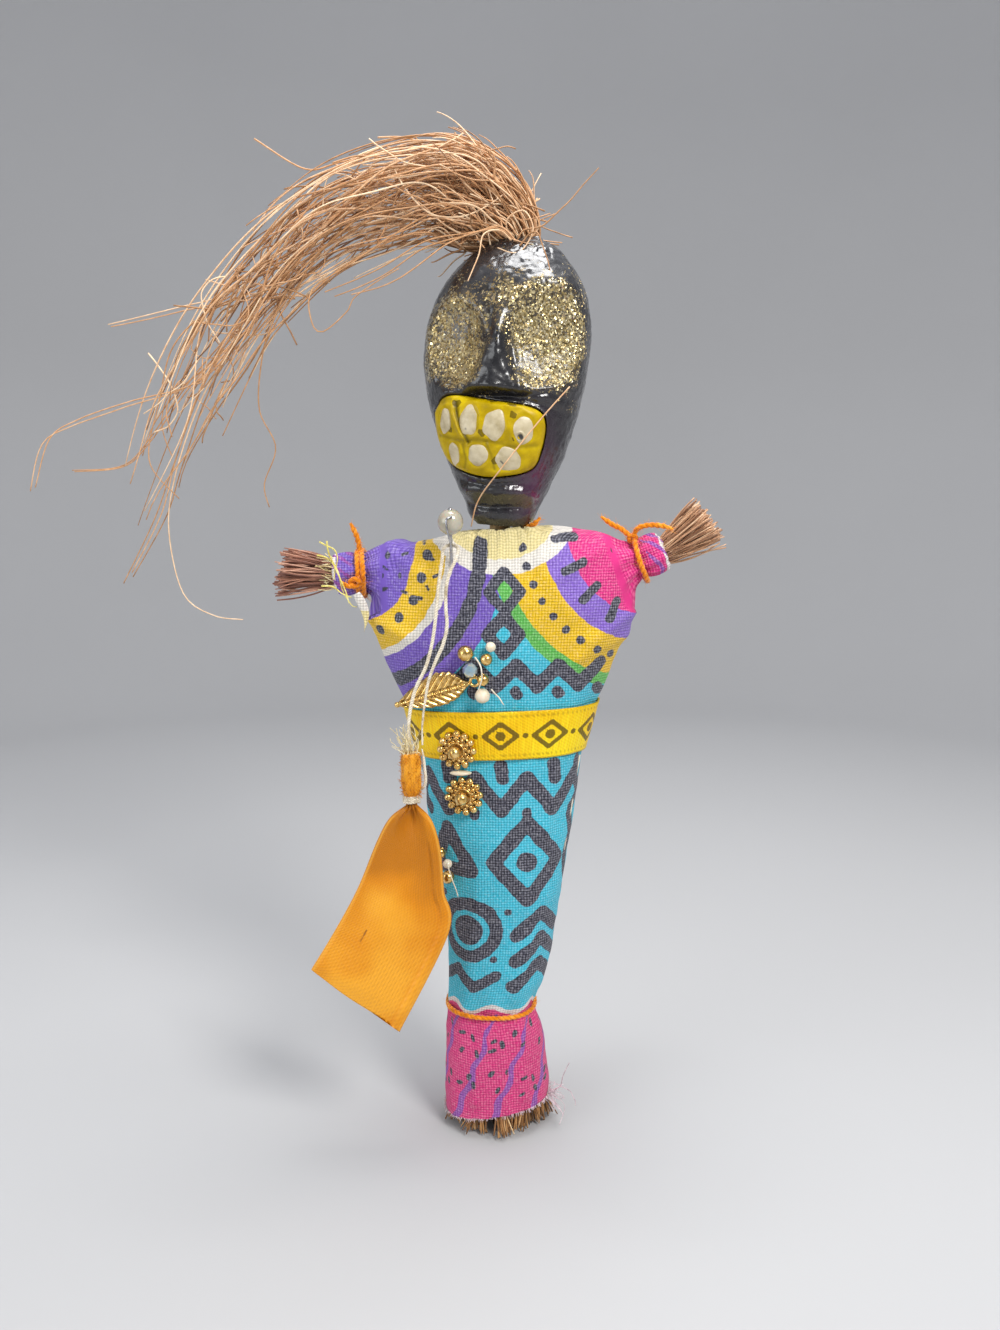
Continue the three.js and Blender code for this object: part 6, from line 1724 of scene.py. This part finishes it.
def make_lights():
    add_light("key_light", (230, -330, 420), (0, 0, 90), 170, 2.0, (1, 0.985, 0.96))
    add_light("fill_light", (-380, -260, 200), (0, 0, 90), 320, 0.8, (0.95, 0.975, 1))
    add_light("top_light", (30, 10, 480), (0, 0, 100), 200, 1.2)
    world = bpy.data.worlds.new("studio")
    world.use_nodes = True
    world.node_tree.nodes["Background"].inputs["Color"].default_value = (0.9, 0.93, 1, 1)
    world.node_tree.nodes["Background"].inputs["Strength"].default_value = 0.7
    scene.world = world
    scene.view_settings.view_transform = "Standard"


HAIR_STOPS = [(0.0, 0x64402A), (0.3, 0xA4764A), (0.55, 0xD6A272), (0.85, 0xFFE2BC)]
LEFT_STOPS = [(0.0, 0x5E382C), (0.4, 0x94604C), (0.7, 0xB98268), (1.0, 0xDDB096)]
RIGHT_STOPS = [(0.0, 0x6B4630), (0.4, 0xA97B58), (0.7, 0xC99C76), (1.0, 0xE8C8A4)]
FOOT_STOPS = [(0.0, 0x3A2414), (0.35, 0x9A6A3A), (0.6, 0xD09A5C), (1.0, 0xF2CF9C)]
STRAW_STOPS = [(0.0, 0xB79C62), (0.5, 0xE0CC94), (1.0, 0xF6ECC8)]
TOOTH_STOPS = [(0.3, 0xA89872), (0.5, 0xC8BA98), (0.75, 0xDACEB2)]

make_camera()
thread_look = make_yarn_look("cream_thread", 0xA9987A, 0xE9DEC8, 0xF6F0E2)
make_thread(thread_look)
cloth_look = make_cloth()
make_body(cloth_look)
make_head(make_clay())
make_mouth(make_mouth_clay())
make_teeth(plain_look("ivory_clay", TOOTH_STOPS, (330, 4, 0.6), (600, 3, 0.3, 0.55), (700, 4, 0.6, 0.15, 0.6),
                      ("pit", 0x3C3C40), Coat_Weight=0.3, Coat_Roughness=0.25))
make_glue(plain_look("clear_glue", [(0.3, 0x77787C), (0.7, 0xB4B5B8)], (500, 3), (700, 3, 0.15, 0.4),
                     (800, 3, 0.2, 0.6), Transmission_Weight=0.5, IOR=1.45, Coat_Weight=0.4,
                     Coat_Roughness=0.1))
make_hair(make_fibre("coir_hair", *HAIR_STOPS))
make_hand("left_bristles", "arm_bundle_left", ARMS["left"], make_fibre("pink_coir", *LEFT_STOPS), 51)
make_hand("right_bristles", "arm_bundle_right", ARMS["right"], make_fibre("tan_coir", *RIGHT_STOPS), 52)
make_foot(make_fibre("gold_coir", *FOOT_STOPS))
lemon_look = make_yarn_look("lemon_thread", 0xB39A3C, 0xEBDD78, 0xFAF4B8)
straw_look = make_fibre("pale_straw", *STRAW_STOPS)
make_cuff_trim(straw_look, lemon_look, cloth_look)
make_ties(make_yarn_look("orange_yarn", 0xC26A08, 0xEE8E12, 0xFFB044))
# The belt's last numbers paint light: darker towards the left of the front and lighter towards the right.
make_belt(make_satin("gold_satin", 0xA87000, 0xF0BC00, 0xFFE620, 0x8E6A08, 0x4A3812, 0.5, 0.6, 0.1,
                     (0, -15, 6, -0.03, 0.02)))
gold_look = make_gold()
cream_look = plain_look("cream_resin", [(0.3, 0xD9C6A2), (0.7, 0xEFE3CC)], (380, 3), (800, 3, 0.3, 0.48),
                        (600, 3, 0.06, 0.4), Coat_Weight=0.3, Coat_Roughness=0.08, Subsurface_Weight=0.15,
                        Subsurface_Scale=0.001)
glass_look = plain_look("faceted_glass", [(0.3, 0x9FC7DA), (0.7, 0xDCEBF0)], (300, 2), (900, 2, 0.04, 0.16),
                        Transmission_Weight=0.55, IOR=1.5, Coat_Weight=0.5, Coat_Roughness=0.03)
make_beads({"gold": gold_look, "cream": cream_look, "glass": glass_look})
for number, rosette in enumerate(ROSETTES):
    make_rosette(*rosette, gold_look, number)
make_leaf(gold_look)
make_pin(plain_look("nickel_steel", [(0.3, 0x8F8F92), (0.7, 0xC8C8CC)], (900, 3), (1500, 2, 0.18, 0.34),
                    (4000, 2, 0.02, 0.4), along=0.1, Metallic=1.0), make_pearl_look())
# The pouch's last numbers paint shade and light: the ribbon's upper half, below the neck, darker and its
# lower end lighter.
pouch_look = make_satin("orange_satin", 0xC07406, 0xDC880A, 0xF2A82A, 0xF0AE40, 0x8A4A06, 0.08, 0.65, 0.0,
                        (1, 22, 38, -0.17, 0.16))
make_pouch(pouch_look)
make_pouch_trim(thread_look, pouch_look, straw_look)
make_cloth_details(make_yarn_look("pale_lint", 0x9A7C86, 0xE3C9D0, 0xF4E6E8), thread_look)
stick = bpy.data.objects["core_stick"].data
stick.materials.clear()
stick.materials.append(make_wood())
make_stage()
make_lights()
